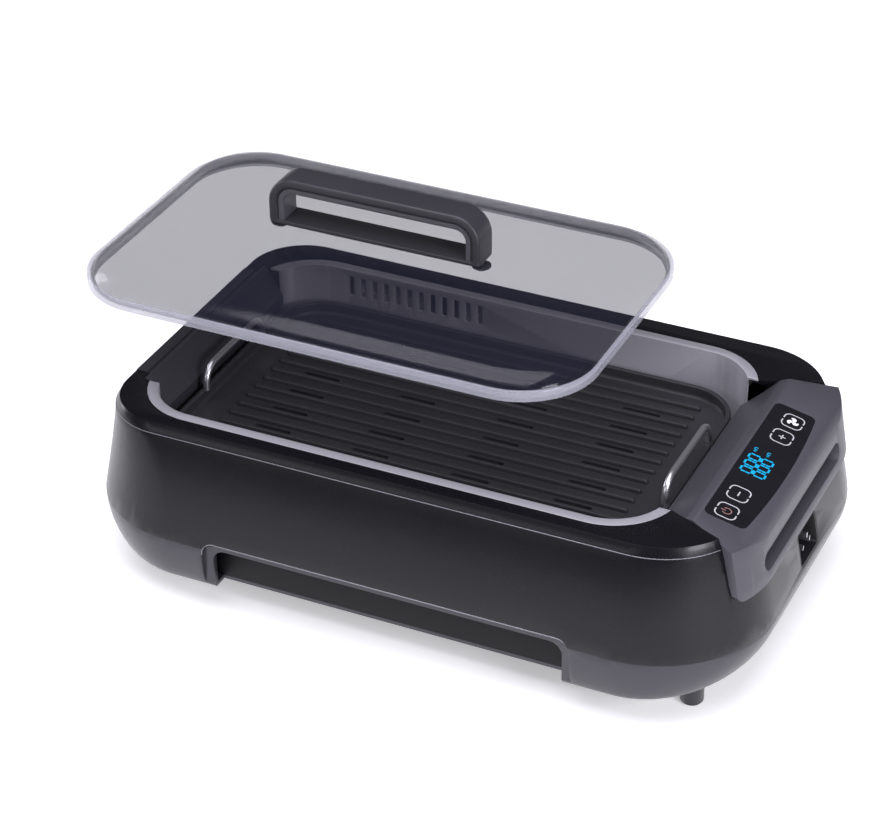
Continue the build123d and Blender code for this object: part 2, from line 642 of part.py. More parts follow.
def liner():
    """Light tub of the cooking well: flange at front and back, open ends, vent slots, plate supports."""
    outer = (WELL_WALL_LENGTH, WELL_WALL_DEPTH, WELL_WALL_CORNER)
    tub = rounded_block(*outer, LINER_FLOOR_Z, LEDGE_Z, WELL_X, WELL_Y)
    flange_bottom = LEDGE_Z - FLANGE_THICKNESS
    tub += rounded_block(FLANGE_LENGTH, FLANGE_DEPTH, FLANGE_CORNER, flange_bottom, LEDGE_Z, WELL_X, WELL_Y)
    inner = (WELL_INNER_LENGTH, WELL_INNER_DEPTH, WELL_INNER_CORNER)
    tub -= rounded_block(*inner, LINER_BED_Z, LEDGE_Z + OVERRUN, WELL_X, WELL_Y)
    half = END_OPENING / 2
    tub -= block(-BODY_LENGTH, BODY_LENGTH, -half, half, END_SILL_Z, LEDGE_Z + OVERRUN)
    reach = (WELL_INNER_DEPTH - PLATE_DEPTH) / 2 + SUPPORT_THICKNESS
    for i in range(SUPPORT_COUNT):
        x = WELL_X + (i - (SUPPORT_COUNT - 1) / 2) * WELL_INNER_LENGTH / (SUPPORT_COUNT + 1)
        for side in (-1, 1):
            wall = WELL_Y + side * (WELL_INNER_DEPTH / 2 + LINER_WALL / 2)
            tip = WELL_Y + side * (WELL_INNER_DEPTH / 2 - reach)
            tub += block(x - SUPPORT_LENGTH / 2, x + SUPPORT_LENGTH / 2, min(wall, tip), max(wall, tip),
                         PLATE_BOTTOM_Z - SUPPORT_THICKNESS, PLATE_BOTTOM_Z)
    for i in range(VENT_COUNT):
        x = VENT_LEFT + i * VENT_PITCH
        back = WELL_REAR_WALL + OVERRUN
        tub -= block(x, x + VENT_WIDTH, WELL_Y, back, VENT_TOP_Z - VENT_HEIGHT, VENT_TOP_Z)
    return tub


def left_end_cover():
    """Bevelled strip on the ledge that turns down into the well, with a shallow groove along it."""
    crest = LEDGE_Z + COVER_RISE
    shoulder_x = -BODY_LENGTH / 2 + BODY_TAPER
    lean = (BODY_TAPER - BELLY_INSET) / (SHOULDER_Z - BELLY_Z)
    below = COVER_OUTER_DROP + COVER_WALL
    strip_points = [
        (shoulder_x - below * lean, SHOULDER_Z - below),
        (shoulder_x, SHOULDER_Z),
        (shoulder_x + BEVEL_INSET, crest),
        (FLANGE_LEFT, crest),
    ]
    slope_points = [
        (FLANGE_LEFT - COVER_WALL, crest),
        (FLANGE_LEFT, crest),
        (FLANGE_LEFT + COVER_SLOPE_RUN, crest - COVER_SLOPE_DROP),
        (FLANGE_LEFT + COVER_SLOPE_RUN, END_SILL_Z + COVER_RISE),
    ]
    cover = profile_block(strip(strip_points, COVER_WALL), COVER_HALF_SPAN)
    cover -= block(-BODY_LENGTH, FLANGE_LEFT, -BODY_DEPTH, BODY_DEPTH, SEAM_Z, COVER_BOTTOM_Z)
    cover += profile_block(strip(slope_points, COVER_WALL), END_OPENING / 2 - FIT)
    groove_x = FLANGE_LEFT - 2 * COVER_GROOVE_WIDTH
    cover -= block(groove_x, groove_x + COVER_GROOVE_WIDTH, -BODY_DEPTH, BODY_DEPTH,
                   crest - COVER_GROOVE_DEPTH, crest + OVERRUN)
    return cover


def panel_form(skin, top):
    """Solid inside the panel's outer skirt, a little proud of the housing and steeper than it."""
    low = skin - PANEL_SEAM_GROWTH
    high = PANEL_TOP_INSET + skin
    return loft(
        [
            body_section(SEAM_Z, low, low, SEAM_CORNER - low),
            body_section(top, high, high, SEAM_CORNER - high),
        ],
        ruled=True,
    )


def panel_profile(skin, floor):
    """Panel's cross-section in X and Z, drawn in by skin: shelf on the well's sill, slope, face and skirt."""
    face_end = (PANEL_FACE_X + PANEL_FACE_RUN, PANEL_FACE_Z - PANEL_FACE_DROP)
    brow = (face_end[0] + PANEL_BROW_RUN, face_end[1] - PANEL_BROW_DROP)
    far = BODY_LENGTH / 2 + OVERRUN
    sheet = [
        (PANEL_START_X, END_SILL_Z),
        (PANEL_START_X, PANEL_SLOPE_Z),
        (PANEL_START_X + PANEL_SLOPE_RUN, LEDGE_Z),
        (PANEL_FACE_X, PANEL_FACE_Z),
        face_end,
        brow,
        (far, brow[1] - OVERRUN),
    ]
    if skin > 0:
        sheet = strip(sheet, skin)[len(sheet):][::-1]
        sheet[0] = (sheet[0][0], END_SILL_Z + skin)
    lip = WELL_RIGHT_WALL + PANEL_LIP_GAP + skin
    return sheet + [(sheet[-1][0], floor), (lip, floor), (lip, sheet[0][1])]


def panel_bends(profile):
    """Points of the panel's cross-section that are rounded: the slope's top, the crest and the face's end."""
    return profile[2:5]


def control_panel_housing():
    """Grey panel shell: slope into the well, tilted face with the glass pocket, skirt with a finger grip."""
    top = LEDGE_Z + OVERRUN
    far = BODY_LENGTH / 2 + 2 * OVERRUN
    low = SEAM_Z
    outer_profile = panel_profile(0, SKIRT_BOTTOM_Z)
    outer = profile_block(outer_profile, BODY_DEPTH, 0, PANEL_BEND, panel_bends(outer_profile))
    outer &= panel_plan(0, low, top, WELL_X, far)
    outer &= panel_form(0, top)
    outer &= skirt_outline(far, top)
    inner_profile = panel_profile(PANEL_WALL, SKIRT_BOTTOM_Z - OVERRUN)
    inner = profile_block(inner_profile, BODY_DEPTH, 0, PANEL_BEND - PANEL_WALL, panel_bends(inner_profile))
    inner &= panel_plan(-PANEL_WALL, low, top, WELL_X, far)
    inner &= panel_form(PANEL_WALL, top)
    shell = outer - inner
    grip = grip_block(GRIP_WALL, GRIP_DEPTH + GRIP_WALL) & outer
    shell += grip
    shell -= grip_block(0, GRIP_DEPTH)
    lower = block(-BODY_LENGTH, BODY_LENGTH, -BODY_DEPTH, BODY_DEPTH, SEAM_Z, BAY_BOTTOM_Z)
    shell -= housing_form(-PANEL_GAP, LEDGE_Z) & lower
    shell -= face_plane() * Pos(0, 0, -GLASS_THICKNESS) * extrude(glass_outline(SNUG), OVERRUN)
    shell -= face_plane() * Pos(0, 0, -OVERRUN) * extrude(glass_outline(-GLASS_LEDGE), 2 * OVERRUN)
    return shell


def skirt_outline(far, top):
    """Block seen from the end as the skirt is: as wide as its flare, with rounded lower corners."""
    outline = Rectangle(2 * PANEL_OUTER_HALF_SPAN, top - SKIRT_BOTTOM_Z)
    outline = fillet(outline.vertices().group_by(Axis.Y)[0], SKIRT_CORNER)
    return Plane.YZ * Pos(0, (top + SKIRT_BOTTOM_Z) / 2, WELL_X) * extrude(outline, far - WELL_X)


def glass_outline(margin):
    """Touch glass seen from above, grown by a margin: three straight sides and a side that bows outwards."""
    half = GLASS_LENGTH / 2
    near, outer = -GLASS_WIDTH / 2, GLASS_WIDTH / 2
    sides = Polyline((outer, half), (near, half), (near, -half), (outer, -half))
    bow = ThreePointArc((outer, -half), (outer + GLASS_BOW, 0), (outer, half))
    outline = make_face(sides + bow)
    outline = fillet(outline.vertices(), GLASS_CORNER)
    return offset(outline, margin) if margin else outline


def grip_block(margin, depth):
    """Pill-shaped block that reaches from outside the skirt to a depth behind it."""
    surface = BODY_LENGTH / 2 - PANEL_TOP_INSET / 2
    pill = SlotOverall(GRIP_LENGTH + 2 * margin, GRIP_HEIGHT + 2 * margin)
    return Plane.YZ * Pos(GRIP_Y, GRIP_Z, surface - depth) * extrude(pill, depth + 2 * OVERRUN)


def face_plane():
    """Plane of the tilted face at the middle of the touch glass: X down the tilt, Y along the glass."""
    run = GLASS_INSET + GLASS_WIDTH / 2
    tilt = radians(PANEL_FACE_ANGLE)
    origin = (PANEL_FACE_X + run * cos(tilt), GLASS_Y, PANEL_FACE_Z - run * sin(tilt))
    return Plane(origin=origin, x_dir=(cos(tilt), 0, -sin(tilt)), z_dir=(sin(tilt), 0, cos(tilt)))


def touch_panel_glass():
    """Dark glass that fills its pocket in the panel's face."""
    return face_plane() * Pos(0, 0, -GLASS_THICKNESS) * extrude(glass_outline(0), GLASS_THICKNESS)


def display_module():
    """Digit display against the underside of the glass."""
    middle = -GLASS_THICKNESS - DISPLAY_HEIGHT / 2
    return face_plane() * Pos(0, 0, middle) * Box(DISPLAY_WIDTH, DISPLAY_LENGTH, DISPLAY_HEIGHT)


def touch_sensor_springs():
    """Sprung discs between the control board and the glass, one under each touch mark."""
    middle = -GLASS_THICKNESS - DISPLAY_HEIGHT / 2
    places = [share * GLASS_LENGTH for share in SENSOR_SHARES]
    discs = [Pos(0, y, middle) * Cylinder(SENSOR_RADIUS, DISPLAY_HEIGHT) for y in places]
    return face_plane() * Compound(children=discs)


def control_board():
    """Board that carries the display and the touch springs."""
    middle = -GLASS_THICKNESS - DISPLAY_HEIGHT - BOARD_THICKNESS / 2
    size = (CONTROL_BOARD_WIDTH, CONTROL_BOARD_LENGTH, BOARD_THICKNESS)
    return face_plane() * Pos(0, 0, middle) * Box(*size)


def inlet_block(margin, depth):
    """Rounded block through the right end wall around the inlet."""
    size = (INLET_WIDTH + 2 * margin, INLET_HEIGHT + 2 * margin)
    face = RectangleRounded(*size, INLET_CORNER + margin)
    start = BODY_LENGTH / 2 - depth
    return Plane.YZ * Pos(INLET_Y, INLET_Z, start) * extrude(face, depth + OVERRUN)


def power_inlet():
    """Moulded cup for the mains plug, flush with the end wall."""
    cup = inlet_block(0, INLET_DEPTH) - inlet_block(-INLET_WALL, INLET_DEPTH - INLET_WALL)
    return cup & housing_form(SNUG, LEDGE_Z)


def inlet_pins():
    """Three flat contacts on the inlet's back wall: two live and one earth."""
    start = BODY_LENGTH / 2 - INLET_DEPTH + INLET_WALL
    places = ((-INLET_PIN_SPREAD, -INLET_PIN_DROP), (INLET_PIN_SPREAD, -INLET_PIN_DROP), (0, INLET_PIN_DROP))
    pins = []
    for y, z in places:
        low = (start, INLET_Y + y - INLET_PIN_THICKNESS / 2, INLET_Z + z - INLET_PIN_WIDTH / 2)
        high = (start + INLET_PIN_LENGTH, low[1] + INLET_PIN_THICKNESS, low[2] + INLET_PIN_WIDTH)
        pins.append(block(low[0], high[0], low[1], high[1], low[2], high[2]))
    return Compound(children=pins)


def power_board():
    """Mains board on four posts over the base floor."""
    board = Pos(POWER_BOARD_X, POWER_BOARD_Y, BOARD_Z + BOARD_THICKNESS / 2) * Box(
        POWER_BOARD_LENGTH, POWER_BOARD_DEPTH, BOARD_THICKNESS
    )
    for x in (-1, 1):
        for y in (-1, 1):
            place = (POWER_BOARD_X + x * (POWER_BOARD_LENGTH / 2 - BOARD_POST_RADIUS) - BOARD_POST_RADIUS,
                     POWER_BOARD_Y + y * (POWER_BOARD_DEPTH / 2 - 2 * BOARD_POST_RADIUS))
            board += post(*place, BOARD_POST_RADIUS, PAN_BOTTOM_Z, BOARD_Z)
    return board


def power_board_parts():
    """Relay, capacitor and transformer on the mains board."""
    bed = BOARD_Z + BOARD_THICKNESS
    x = POWER_BOARD_X
    side = TRANSFORMER_SIDE
    relay_y = POWER_BOARD_FRONT + BOARD_PART_GAP + RELAY_DEPTH / 2
    capacitor_y = relay_y + RELAY_DEPTH / 2 + BOARD_PART_GAP + CAPACITOR_RADIUS
    coil_y = capacitor_y + CAPACITOR_RADIUS + BOARD_PART_GAP + side / 2
    relay = Pos(x, relay_y, bed + RELAY_HEIGHT / 2) * Box(RELAY_LENGTH, RELAY_DEPTH, RELAY_HEIGHT)
    capacitor = post(x, capacitor_y, CAPACITOR_RADIUS, bed, bed + CAPACITOR_HEIGHT)
    coil = Pos(x, coil_y, bed + side / 2) * Box(side, side, side)
    return Compound(children=[relay, capacitor, coil])


def scroll_form(wall, low, high):
    """Solid of the blower's scroll with its outlet arm, grown by wall."""
    radius = FAN_RADIUS + SCROLL_GAP
    left = FAN_X - radius - wall
    right = FAN_X - radius + OUTLET_WIDTH + wall
    front = FAN_Y - OUTLET_REACH - wall
    return post(FAN_X, FAN_Y, radius + wall, low, high) + block(left, right, front, FAN_Y, low, high)


def fan_scroll():
    """Blower housing: round scroll with an inlet eye on top and an outlet chimney to the base floor."""
    shell = scroll_form(SCROLL_WALL, FAN_BED_Z, SCROLL_TOP_Z)
    shell -= scroll_form(0, FAN_BED_Z + SCROLL_WALL, SCROLL_TOP_Z - SCROLL_WALL)
    x, y = outlet_middle()
    chimney = (OUTLET_WIDTH + 2 * SCROLL_WALL, OUTLET_DEPTH + 2 * SCROLL_WALL, OUTLET_FRAME)
    shell += rounded_block(*chimney, PAN_BOTTOM_Z, FAN_BED_Z + SCROLL_WALL, x, y)
    mouth = (OUTLET_WIDTH, OUTLET_DEPTH, OUTLET_FRAME - SNUG)
    shell -= rounded_block(*mouth, PAN_BOTTOM_Z - OVERRUN, FAN_BED_Z + 2 * SCROLL_WALL, x, y)
    eye_low = SCROLL_TOP_Z - SCROLL_WALL - OVERRUN
    return shell - post(FAN_X, FAN_Y, SCROLL_INLET_RADIUS, eye_low, SCROLL_TOP_Z + OVERRUN)


def outlet_grille():
    """Slotted plate in the base floor under the blower's chimney."""
    frame = outlet_block(0, LEG_HEIGHT, PAN_BOTTOM_Z)
    x, y = outlet_middle()
    pitch = (OUTLET_DEPTH - OUTLET_FRAME) / OUTLET_SLOTS
    for i in range(OUTLET_SLOTS):
        place = y + (i - (OUTLET_SLOTS - 1) / 2) * pitch
        slot = SlotOverall(OUTLET_WIDTH - 2 * OUTLET_FRAME, OUTLET_SLOT_WIDTH)
        frame -= Pos(x, place, LEG_HEIGHT - OVERRUN) * extrude(slot, BASE_FLOOR + 2 * OVERRUN)
    return frame


def outlet_middle():
    """Middle of the blower's outlet in plan."""
    x = FAN_X - FAN_RADIUS - SCROLL_GAP + OUTLET_WIDTH / 2
    return x, FAN_Y - OUTLET_REACH + OUTLET_DEPTH / 2


def outlet_block(margin, bottom, top):
    """Block of the outlet grille's outline."""
    x, y = outlet_middle()
    size = (OUTLET_WIDTH + 2 * margin, OUTLET_DEPTH + 2 * margin, OUTLET_FRAME)
    return rounded_block(*size, bottom, top, x, y)


def impeller():
    """Curved blades between a back plate with its hub and a front ring."""
    bottom = FAN_BED_Z + SCROLL_GAP
    wheel = post(FAN_X, FAN_Y, FAN_RADIUS, bottom, bottom + FAN_PLATE)
    wheel += post(FAN_X, FAN_Y, FAN_HUB_RADIUS, bottom, bottom + FAN_HEIGHT / 2)
    ring_low = bottom + FAN_HEIGHT - FAN_PLATE
    ring = post(FAN_X, FAN_Y, FAN_RADIUS, ring_low, bottom + FAN_HEIGHT)
    wheel += ring - post(FAN_X, FAN_Y, SCROLL_INLET_RADIUS, ring_low - OVERRUN, bottom + FAN_HEIGHT + OVERRUN)
    middle = FAN_RADIUS - BLADE_CHORD / 2
    for i in range(FAN_BLADES):
        blade = Pos(middle, 0, 0) * Rot(0, 0, BLADE_TURN) * Box(BLADE_CHORD, BLADE_THICKNESS, FAN_HEIGHT)
        turned = Rot(0, 0, i * 360 / FAN_BLADES) * blade
        wheel += Pos(FAN_X, FAN_Y, bottom + FAN_HEIGHT / 2) * turned
    return wheel - post(FAN_X, FAN_Y, SHAFT_RADIUS, bottom - OVERRUN, bottom + FAN_HEIGHT)


def motor_shaft():
    """Steel shaft from the motor into the hub."""
    return post(FAN_X, FAN_Y, SHAFT_RADIUS, FAN_BED_Z + SCROLL_GAP, MOTOR_BOTTOM_Z + MOTOR_PLATE)


def fan_motor():
    """Motor over the inlet eye on three arms that stand on the scroll."""
    arm_top = MOTOR_BOTTOM_Z + MOTOR_PLATE
    motor = post(FAN_X, FAN_Y, MOTOR_RADIUS, MOTOR_BOTTOM_Z, MOTOR_BOTTOM_Z + MOTOR_HEIGHT)
    tip = HOOD_RADIUS - 2 * DUCT_WALL
    half = MOTOR_ARM_WIDTH / 2
    for turn in (0, 120, 240):
        arm = block(0, tip, -half, half, MOTOR_BOTTOM_Z, arm_top)
        arm += block(SCROLL_INLET_RADIUS + DUCT_WALL, tip, -half, half, SCROLL_TOP_Z, arm_top)
        motor += Pos(FAN_X, FAN_Y, 0) * Rot(0, 0, turn) * arm
    return motor - post(FAN_X, FAN_Y, SHAFT_RADIUS + FIT, MOTOR_BOTTOM_Z - OVERRUN, arm_top + FIT)


def smoke_duct():
    """Thin duct that leads from the vent slots along the back and down over the blower's eye."""
    shell = duct_form(0) - duct_form(DUCT_WALL)
    right = VENT_LEFT + VENT_COUNT * VENT_PITCH
    front = WELL_REAR_WALL - OVERRUN
    shell -= block(VENT_LEFT, right, front, DUCT_FRONT + 2 * DUCT_WALL, VENT_TOP_Z - VENT_HEIGHT, VENT_TOP_Z)
    eye = HOOD_RADIUS - DUCT_WALL
    return shell - post(FAN_X, FAN_Y, eye, SCROLL_TOP_Z - OVERRUN, SCROLL_TOP_Z + 2 * DUCT_WALL)


def duct_form(skin):
    """Solid of the duct's run, chute, neck and hood, drawn in by skin."""
    top = VENT_TOP_Z + DUCT_RISE - skin
    low = VENT_TOP_Z - VENT_HEIGHT - DUCT_RISE + skin
    left = VENT_LEFT - DUCT_MARGIN + skin
    front = DUCT_FRONT + skin
    back = DUCT_FRONT + DUCT_DEPTH - skin
    chute_left = CHUTE_X + skin
    chute_right = CHUTE_X + CHUTE_WIDTH - skin
    hood_low = SCROLL_TOP_Z + skin
    hood_high = SCROLL_TOP_Z + HOOD_HEIGHT - skin
    form = block(left, chute_right, front, back, low, top)
    form += block(chute_left, chute_right, front, back, hood_low, top)
    form += block(chute_left, chute_right, FAN_Y, back, hood_low, hood_high)
    return form + post(FAN_X, FAN_Y, HOOD_RADIUS - skin, hood_low, hood_high)


def heat_shield():
    """Bright sheet under the tub, hung from it on four spacers."""
    bottom = PAN_TOP_Z + SHIELD_THICKNESS
    size = (SHIELD_LENGTH, SHIELD_DEPTH, SHIELD_CORNER)
    sheet = rounded_block(*size, bottom, bottom + SHIELD_THICKNESS, WELL_X, WELL_Y)
    reach = (SHIELD_LENGTH / 2 - SHIELD_CORNER, SHIELD_DEPTH / 2 - SHIELD_CORNER)
    for x in (-1, 1):
        for y in (-1, 1):
            place = (WELL_X + x * reach[0], WELL_Y + y * reach[1])
            sheet += post(*place, SHIELD_POST_RADIUS, bottom, LINER_FLOOR_Z)
    return sheet


def thermal_cutout():
    """Safety cut-out clipped to the tub's right end wall."""
    x = WELL_X + WELL_WALL_LENGTH / 2
    low = LINER_FLOOR_Z + CUTOUT_LENGTH
    return block(x, x + CUTOUT_HEIGHT, -CUTOUT_Y - CUTOUT_DEPTH, -CUTOUT_Y, low, low + CUTOUT_LENGTH)


def terminal_socket():
    """Docking socket on the tub's floor that the element's pins drop into."""
    socket = rounded_block(PLUG_LENGTH, PLUG_DEPTH, PLUG_CORNER, LINER_BED_Z, SOCKET_TOP_Z, PLUG_X, WELL_Y)
    for side in (-1, 0, 1):
        place = WELL_Y + side * PIN_SPACING
        socket -= post(PLUG_X, place, PIN_RADIUS + FIT, SOCKET_TOP_Z - PIN_DROP - FIT, SOCKET_TOP_Z + OVERRUN)
    return socket


def base_screws():
    """Four screws up through the base posts into the housing posts."""
    screws = []
    for x, y in CORNER_POSTS:
        shoulder = LEG_HEIGHT + SCREW_RECESS
        screw = post(x, y, SCREW_RADIUS, shoulder, SEAM_Z + SCREW_LENGTH - FIT)
        screw += post(x, y, SCREW_HEAD_RADIUS, shoulder - SCREW_HEAD_HEIGHT, shoulder)
        screws.append(screw)
    return Compound(children=screws)


def mains_wires():
    """Two insulated wires from the inlet's back to the power board."""
    wires = []
    back = BODY_LENGTH / 2 - INLET_DEPTH
    bed = BOARD_Z + BOARD_THICKNESS
    x = POWER_BOARD_X + WIRE_PLACE
    for side in (-1, 1):
        y = INLET_Y + side * INLET_PIN_SPREAD
        end_y = POWER_BOARD_Y + POWER_BOARD_DEPTH / 2 - (2 - side) * 2 * MAINS_WIRE_RADIUS
        points = [(back, y, INLET_Z), (x, y, INLET_Z), (x, end_y, bed + WIRE_RUN), (x, end_y, bed)]
        wires.append(tube(points, WIRE_TURN, MAINS_WIRE_RADIUS))
    return Compound(children=wires)


def drip_tray():
    """Shallow tray on the tub's floor with a turned-out lip."""
    x = WELL_INNER_LEFT + TRAY_LEFT_GAP + TRAY_LENGTH / 2
    top = LINER_BED_Z + TRAY_HEIGHT
    waist = (TRAY_LENGTH - 2 * TRAY_LIP, TRAY_DEPTH - 2 * TRAY_LIP, TRAY_CORNER - TRAY_LIP)
    tray = rounded_block(*waist, LINER_BED_Z, top, x, WELL_Y)
    tray += rounded_block(TRAY_LENGTH, TRAY_DEPTH, TRAY_CORNER, top - TRAY_WALL, top, x, WELL_Y)
    inner = (waist[0] - 2 * TRAY_WALL, waist[1] - 2 * TRAY_WALL, waist[2] - TRAY_WALL)
    return tray - rounded_block(*inner, LINER_BED_Z + TRAY_WALL, top + OVERRUN, x, WELL_Y)


def grill_plate():
    """Cast plate with a raised rim, cooking ribs and rows of drain slots between them."""
    outer = (PLATE_LENGTH, PLATE_DEPTH, PLATE_CORNER)
    plate = rounded_block(*outer, PLATE_BOTTOM_Z, PLATE_RIM_Z, WELL_X, WELL_Y)
    loss = 2 * PLATE_RIM_WALL
    size = (PLATE_LENGTH - loss, PLATE_DEPTH - loss, PLATE_CORNER - PLATE_RIM_WALL)
    plate -= rounded_block(*size, PLATE_TOP_Z, PLATE_RIM_Z + OVERRUN, WELL_X, WELL_Y)
    pitch = (size[1] - 2 * RIB_MARGIN) / (RIB_COUNT - 1)
    half = size[0] / 2 - RIB_END_MARGIN
    for i in range(RIB_COUNT):
        y = WELL_Y + (i - (RIB_COUNT - 1) / 2) * pitch
        rib = Pos(WELL_X, y, PLATE_TOP_Z) * extrude(SlotOverall(2 * half, RIB_WIDTH), RIB_HEIGHT)
        plate += rib
    for i in range(0, RIB_COUNT - 1, 2):
        y = WELL_Y + (i + 1 / 2 - (RIB_COUNT - 1) / 2) * pitch
        for j in range(DRAIN_COLUMNS):
            x = WELL_X + (j - (DRAIN_COLUMNS - 1) / 2) * 2 * half / DRAIN_COLUMNS
            drain = Pos(x, y, PLATE_BOTTOM_Z - OVERRUN) * SlotOverall(DRAIN_LENGTH, DRAIN_WIDTH)
            plate -= extrude(drain, PLATE_THICKNESS + 2 * OVERRUN)
    for x, y in wire_feet():
        plate += post(x, y, WIRE_PAD_RADIUS, PLATE_TOP_Z, PLATE_RIM_Z)
    for x, y in clamp_places():
        plate += post(x, y, BOSS_RADIUS, CLAMP_Z + CLAMP_THICKNESS, PLATE_BOTTOM_Z)
        plate -= post(x, y, CLAMP_SCREW_RADIUS, CLAMP_Z, PLATE_BOTTOM_Z)
    return plate


def wire_feet():
    """Where the wire handles stand on the plate's rim."""
    reach = PLATE_LENGTH / 2 - WIRE_INSET
    return [(WELL_X + side * reach, WELL_Y + end * WIRE_SPAN / 2) for side in (-1, 1) for end in (-1, 1)]


def clamp_places():
    """Screw places of both element clamps."""
    reach = ELEMENT_SPREAD / 2 + CLAMP_WIDTH
    return [(WELL_X + x, WELL_Y + end * reach) for x in CLAMP_PLACES for end in (-1, 1)]


def plate_handle(side):
    """Bent wire that stands on the plate's rim at one end."""
    x = WELL_X + side * (PLATE_LENGTH / 2 - WIRE_INSET)
    low = PLATE_RIM_Z
    high = PLATE_RIM_Z + WIRE_HEIGHT - WIRE_RADIUS
    near = WELL_Y - WIRE_SPAN / 2
    far = WELL_Y + WIRE_SPAN / 2
    return tube([(x, near, low), (x, near, high), (x, far, high), (x, far, low)], WIRE_BEND, WIRE_RADIUS)


def heating_element():
    """One sheathed tube in six runs under the plate, with both ends in the plug."""
    left = WELL_X - ELEMENT_LEFT
    right = WELL_X + ELEMENT_RIGHT
    rows = [WELL_Y + (i - (ELEMENT_RUNS - 1) / 2) * ELEMENT_PITCH for i in range(ELEMENT_RUNS)]
    outer = right + ELEMENT_PITCH / 2
    plug_face = PLUG_X - PLUG_LENGTH / 2
    near_end = WELL_Y - PIN_SPACING / 2
    far_end = WELL_Y + PIN_SPACING / 2
    points = [(plug_face, near_end), (outer, near_end), (outer, rows[0])]
    for i in range(0, ELEMENT_RUNS - 1):
        turn = left if i % 2 == 0 else right
        points += [(turn, rows[i]), (turn, rows[i + 1])]
    points += [(outer, rows[-1]), (outer, far_end), (plug_face, far_end)]
    path = [(x, y, ELEMENT_Z) for x, y in points]
    bend = min(ELEMENT_BEND, plug_face - outer - ELEMENT_STRAIGHT / 2)
    return tube(path, bend, ELEMENT_RADIUS)


def element_clamps():
    """Two bridges that hold the element's runs up under the plate."""
    clamps = []
    reach = ELEMENT_SPREAD / 2 + CLAMP_WIDTH
    for place in CLAMP_PLACES:
        bar = (CLAMP_WIDTH, 2 * reach + CLAMP_WIDTH, CLAMP_WIDTH / 3)
        clamps.append(rounded_block(*bar, CLAMP_Z, CLAMP_Z + CLAMP_THICKNESS, WELL_X + place, WELL_Y))
    holes = [post(x, y, CLAMP_SCREW_RADIUS, CLAMP_Z - OVERRUN, CLAMP_Z + OVERRUN) for x, y in clamp_places()]
    return Compound(children=clamps) - holes


def clamp_screws():
    """Four screws up through the clamps into the plate's bosses."""
    screws = []
    for x, y in clamp_places():
        screw = post(x, y, CLAMP_SCREW_RADIUS, CLAMP_Z, PLATE_BOTTOM_Z - FIT)
        screw += post(x, y, CLAMP_HEAD_RADIUS, CLAMP_Z - CLAMP_HEAD_HEIGHT, CLAMP_Z)
        screws.append(screw)
    return Compound(children=screws)


def terminal_plug():
    """Heat-proof block under the plate's right end that holds the element's ends and its pins."""
    low = SOCKET_TOP_Z + FIT
    return rounded_block(PLUG_LENGTH, PLUG_DEPTH, PLUG_CORNER, low, PLATE_BOTTOM_Z, PLUG_X, WELL_Y)


def terminal_pins():
    """Three round pins that dock in the socket."""
    top = SOCKET_TOP_Z + FIT
    pins = [post(PLUG_X, WELL_Y + side * PIN_SPACING, PIN_RADIUS, top - PIN_DROP, top) for side in (-1, 0, 1)]
    return Compound(children=pins)


def lid_place():
    """Where the lid hangs: over its seat, moved up and to the left."""
    return Pos(WELL_X - LID_SHIFT, WELL_Y, LEDGE_Z + FIT + LID_LIFT)


def lid_rim():
    """Clear frame around the glass with a rebate that the glass sits in and rounded outer edges."""
    rim = rounded_block(LID_LENGTH, LID_DEPTH, LID_CORNER, 0, RIM_HEIGHT)
    rim = fillet(rim.edges().group_by(Axis.Z)[0] + rim.edges().group_by(Axis.Z)[-1], RIM_ROUND)
    inner = (LID_LENGTH - 2 * RIM_WIDTH, LID_DEPTH - 2 * RIM_WIDTH, LID_CORNER - RIM_WIDTH)
    rim -= rounded_block(*inner, -OVERRUN, RIM_HEIGHT + OVERRUN)
    edge = RIM_WIDTH - GLASS_REBATE
    size = (LID_LENGTH - 2 * edge, LID_DEPTH - 2 * edge, LID_CORNER - edge)
    rim -= rounded_block(*size, RIM_SEAT, RIM_HEIGHT + OVERRUN)
    return lid_place() * rim


def crown_form(lift, skin):
    """Domed solid of the glass: outlines drawn in as they rise."""
    edge = RIM_WIDTH - GLASS_REBATE + FIT + skin
    sections = []
    for inset, share in zip(CROWN_INSETS, CROWN_SHARES):
        step = edge + inset
        outline = RectangleRounded(LID_LENGTH - 2 * step, LID_DEPTH - 2 * step, LID_CORNER - step)
        sections.append(Pos(0, 0, lift + CROWN_HEIGHT * share) * outline)
    return loft(sections)


def lid_glass():
    """Clear domed glass: a flat edge in the rim, a soft shoulder and a nearly flat crown."""
    edge = RIM_WIDTH - GLASS_REBATE + FIT
    size = (LID_LENGTH - 2 * edge, LID_DEPTH - 2 * edge, LID_CORNER - edge)
    glass = rounded_block(*size, RIM_SEAT, RIM_SEAT + LID_GLASS) + crown_form(RIM_SEAT + LID_GLASS, 0)
    hollow = crown_form(RIM_SEAT, LID_GLASS)
    glass -= hollow
    return lid_place() * (glass - handle_bores(HANDLE_SCREW_RADIUS + FIT, 0, CROWN_TOP + OVERRUN))


def handle_base():
    """Thin foot plate of the handle."""
    top = CROWN_TOP + HANDLE_BASE
    base = rounded_block(HANDLE_LENGTH, HANDLE_DEPTH, HANDLE_BASE, CROWN_TOP, top, HANDLE_X, HANDLE_SET_BACK)
    base -= handle_bores(HANDLE_SCREW_RADIUS + SNUG, CROWN_TOP - OVERRUN, CROWN_TOP + HANDLE_BASE + OVERRUN)
    return lid_place() * base


def handle_bores(radius, low, high):
    """Both screw places of the handle as upright posts."""
    near = post(HANDLE_X - HANDLE_SCREW_SPACING / 2, HANDLE_SET_BACK, radius, low, high)
    return near + post(HANDLE_X + HANDLE_SCREW_SPACING / 2, HANDLE_SET_BACK, radius, low, high)


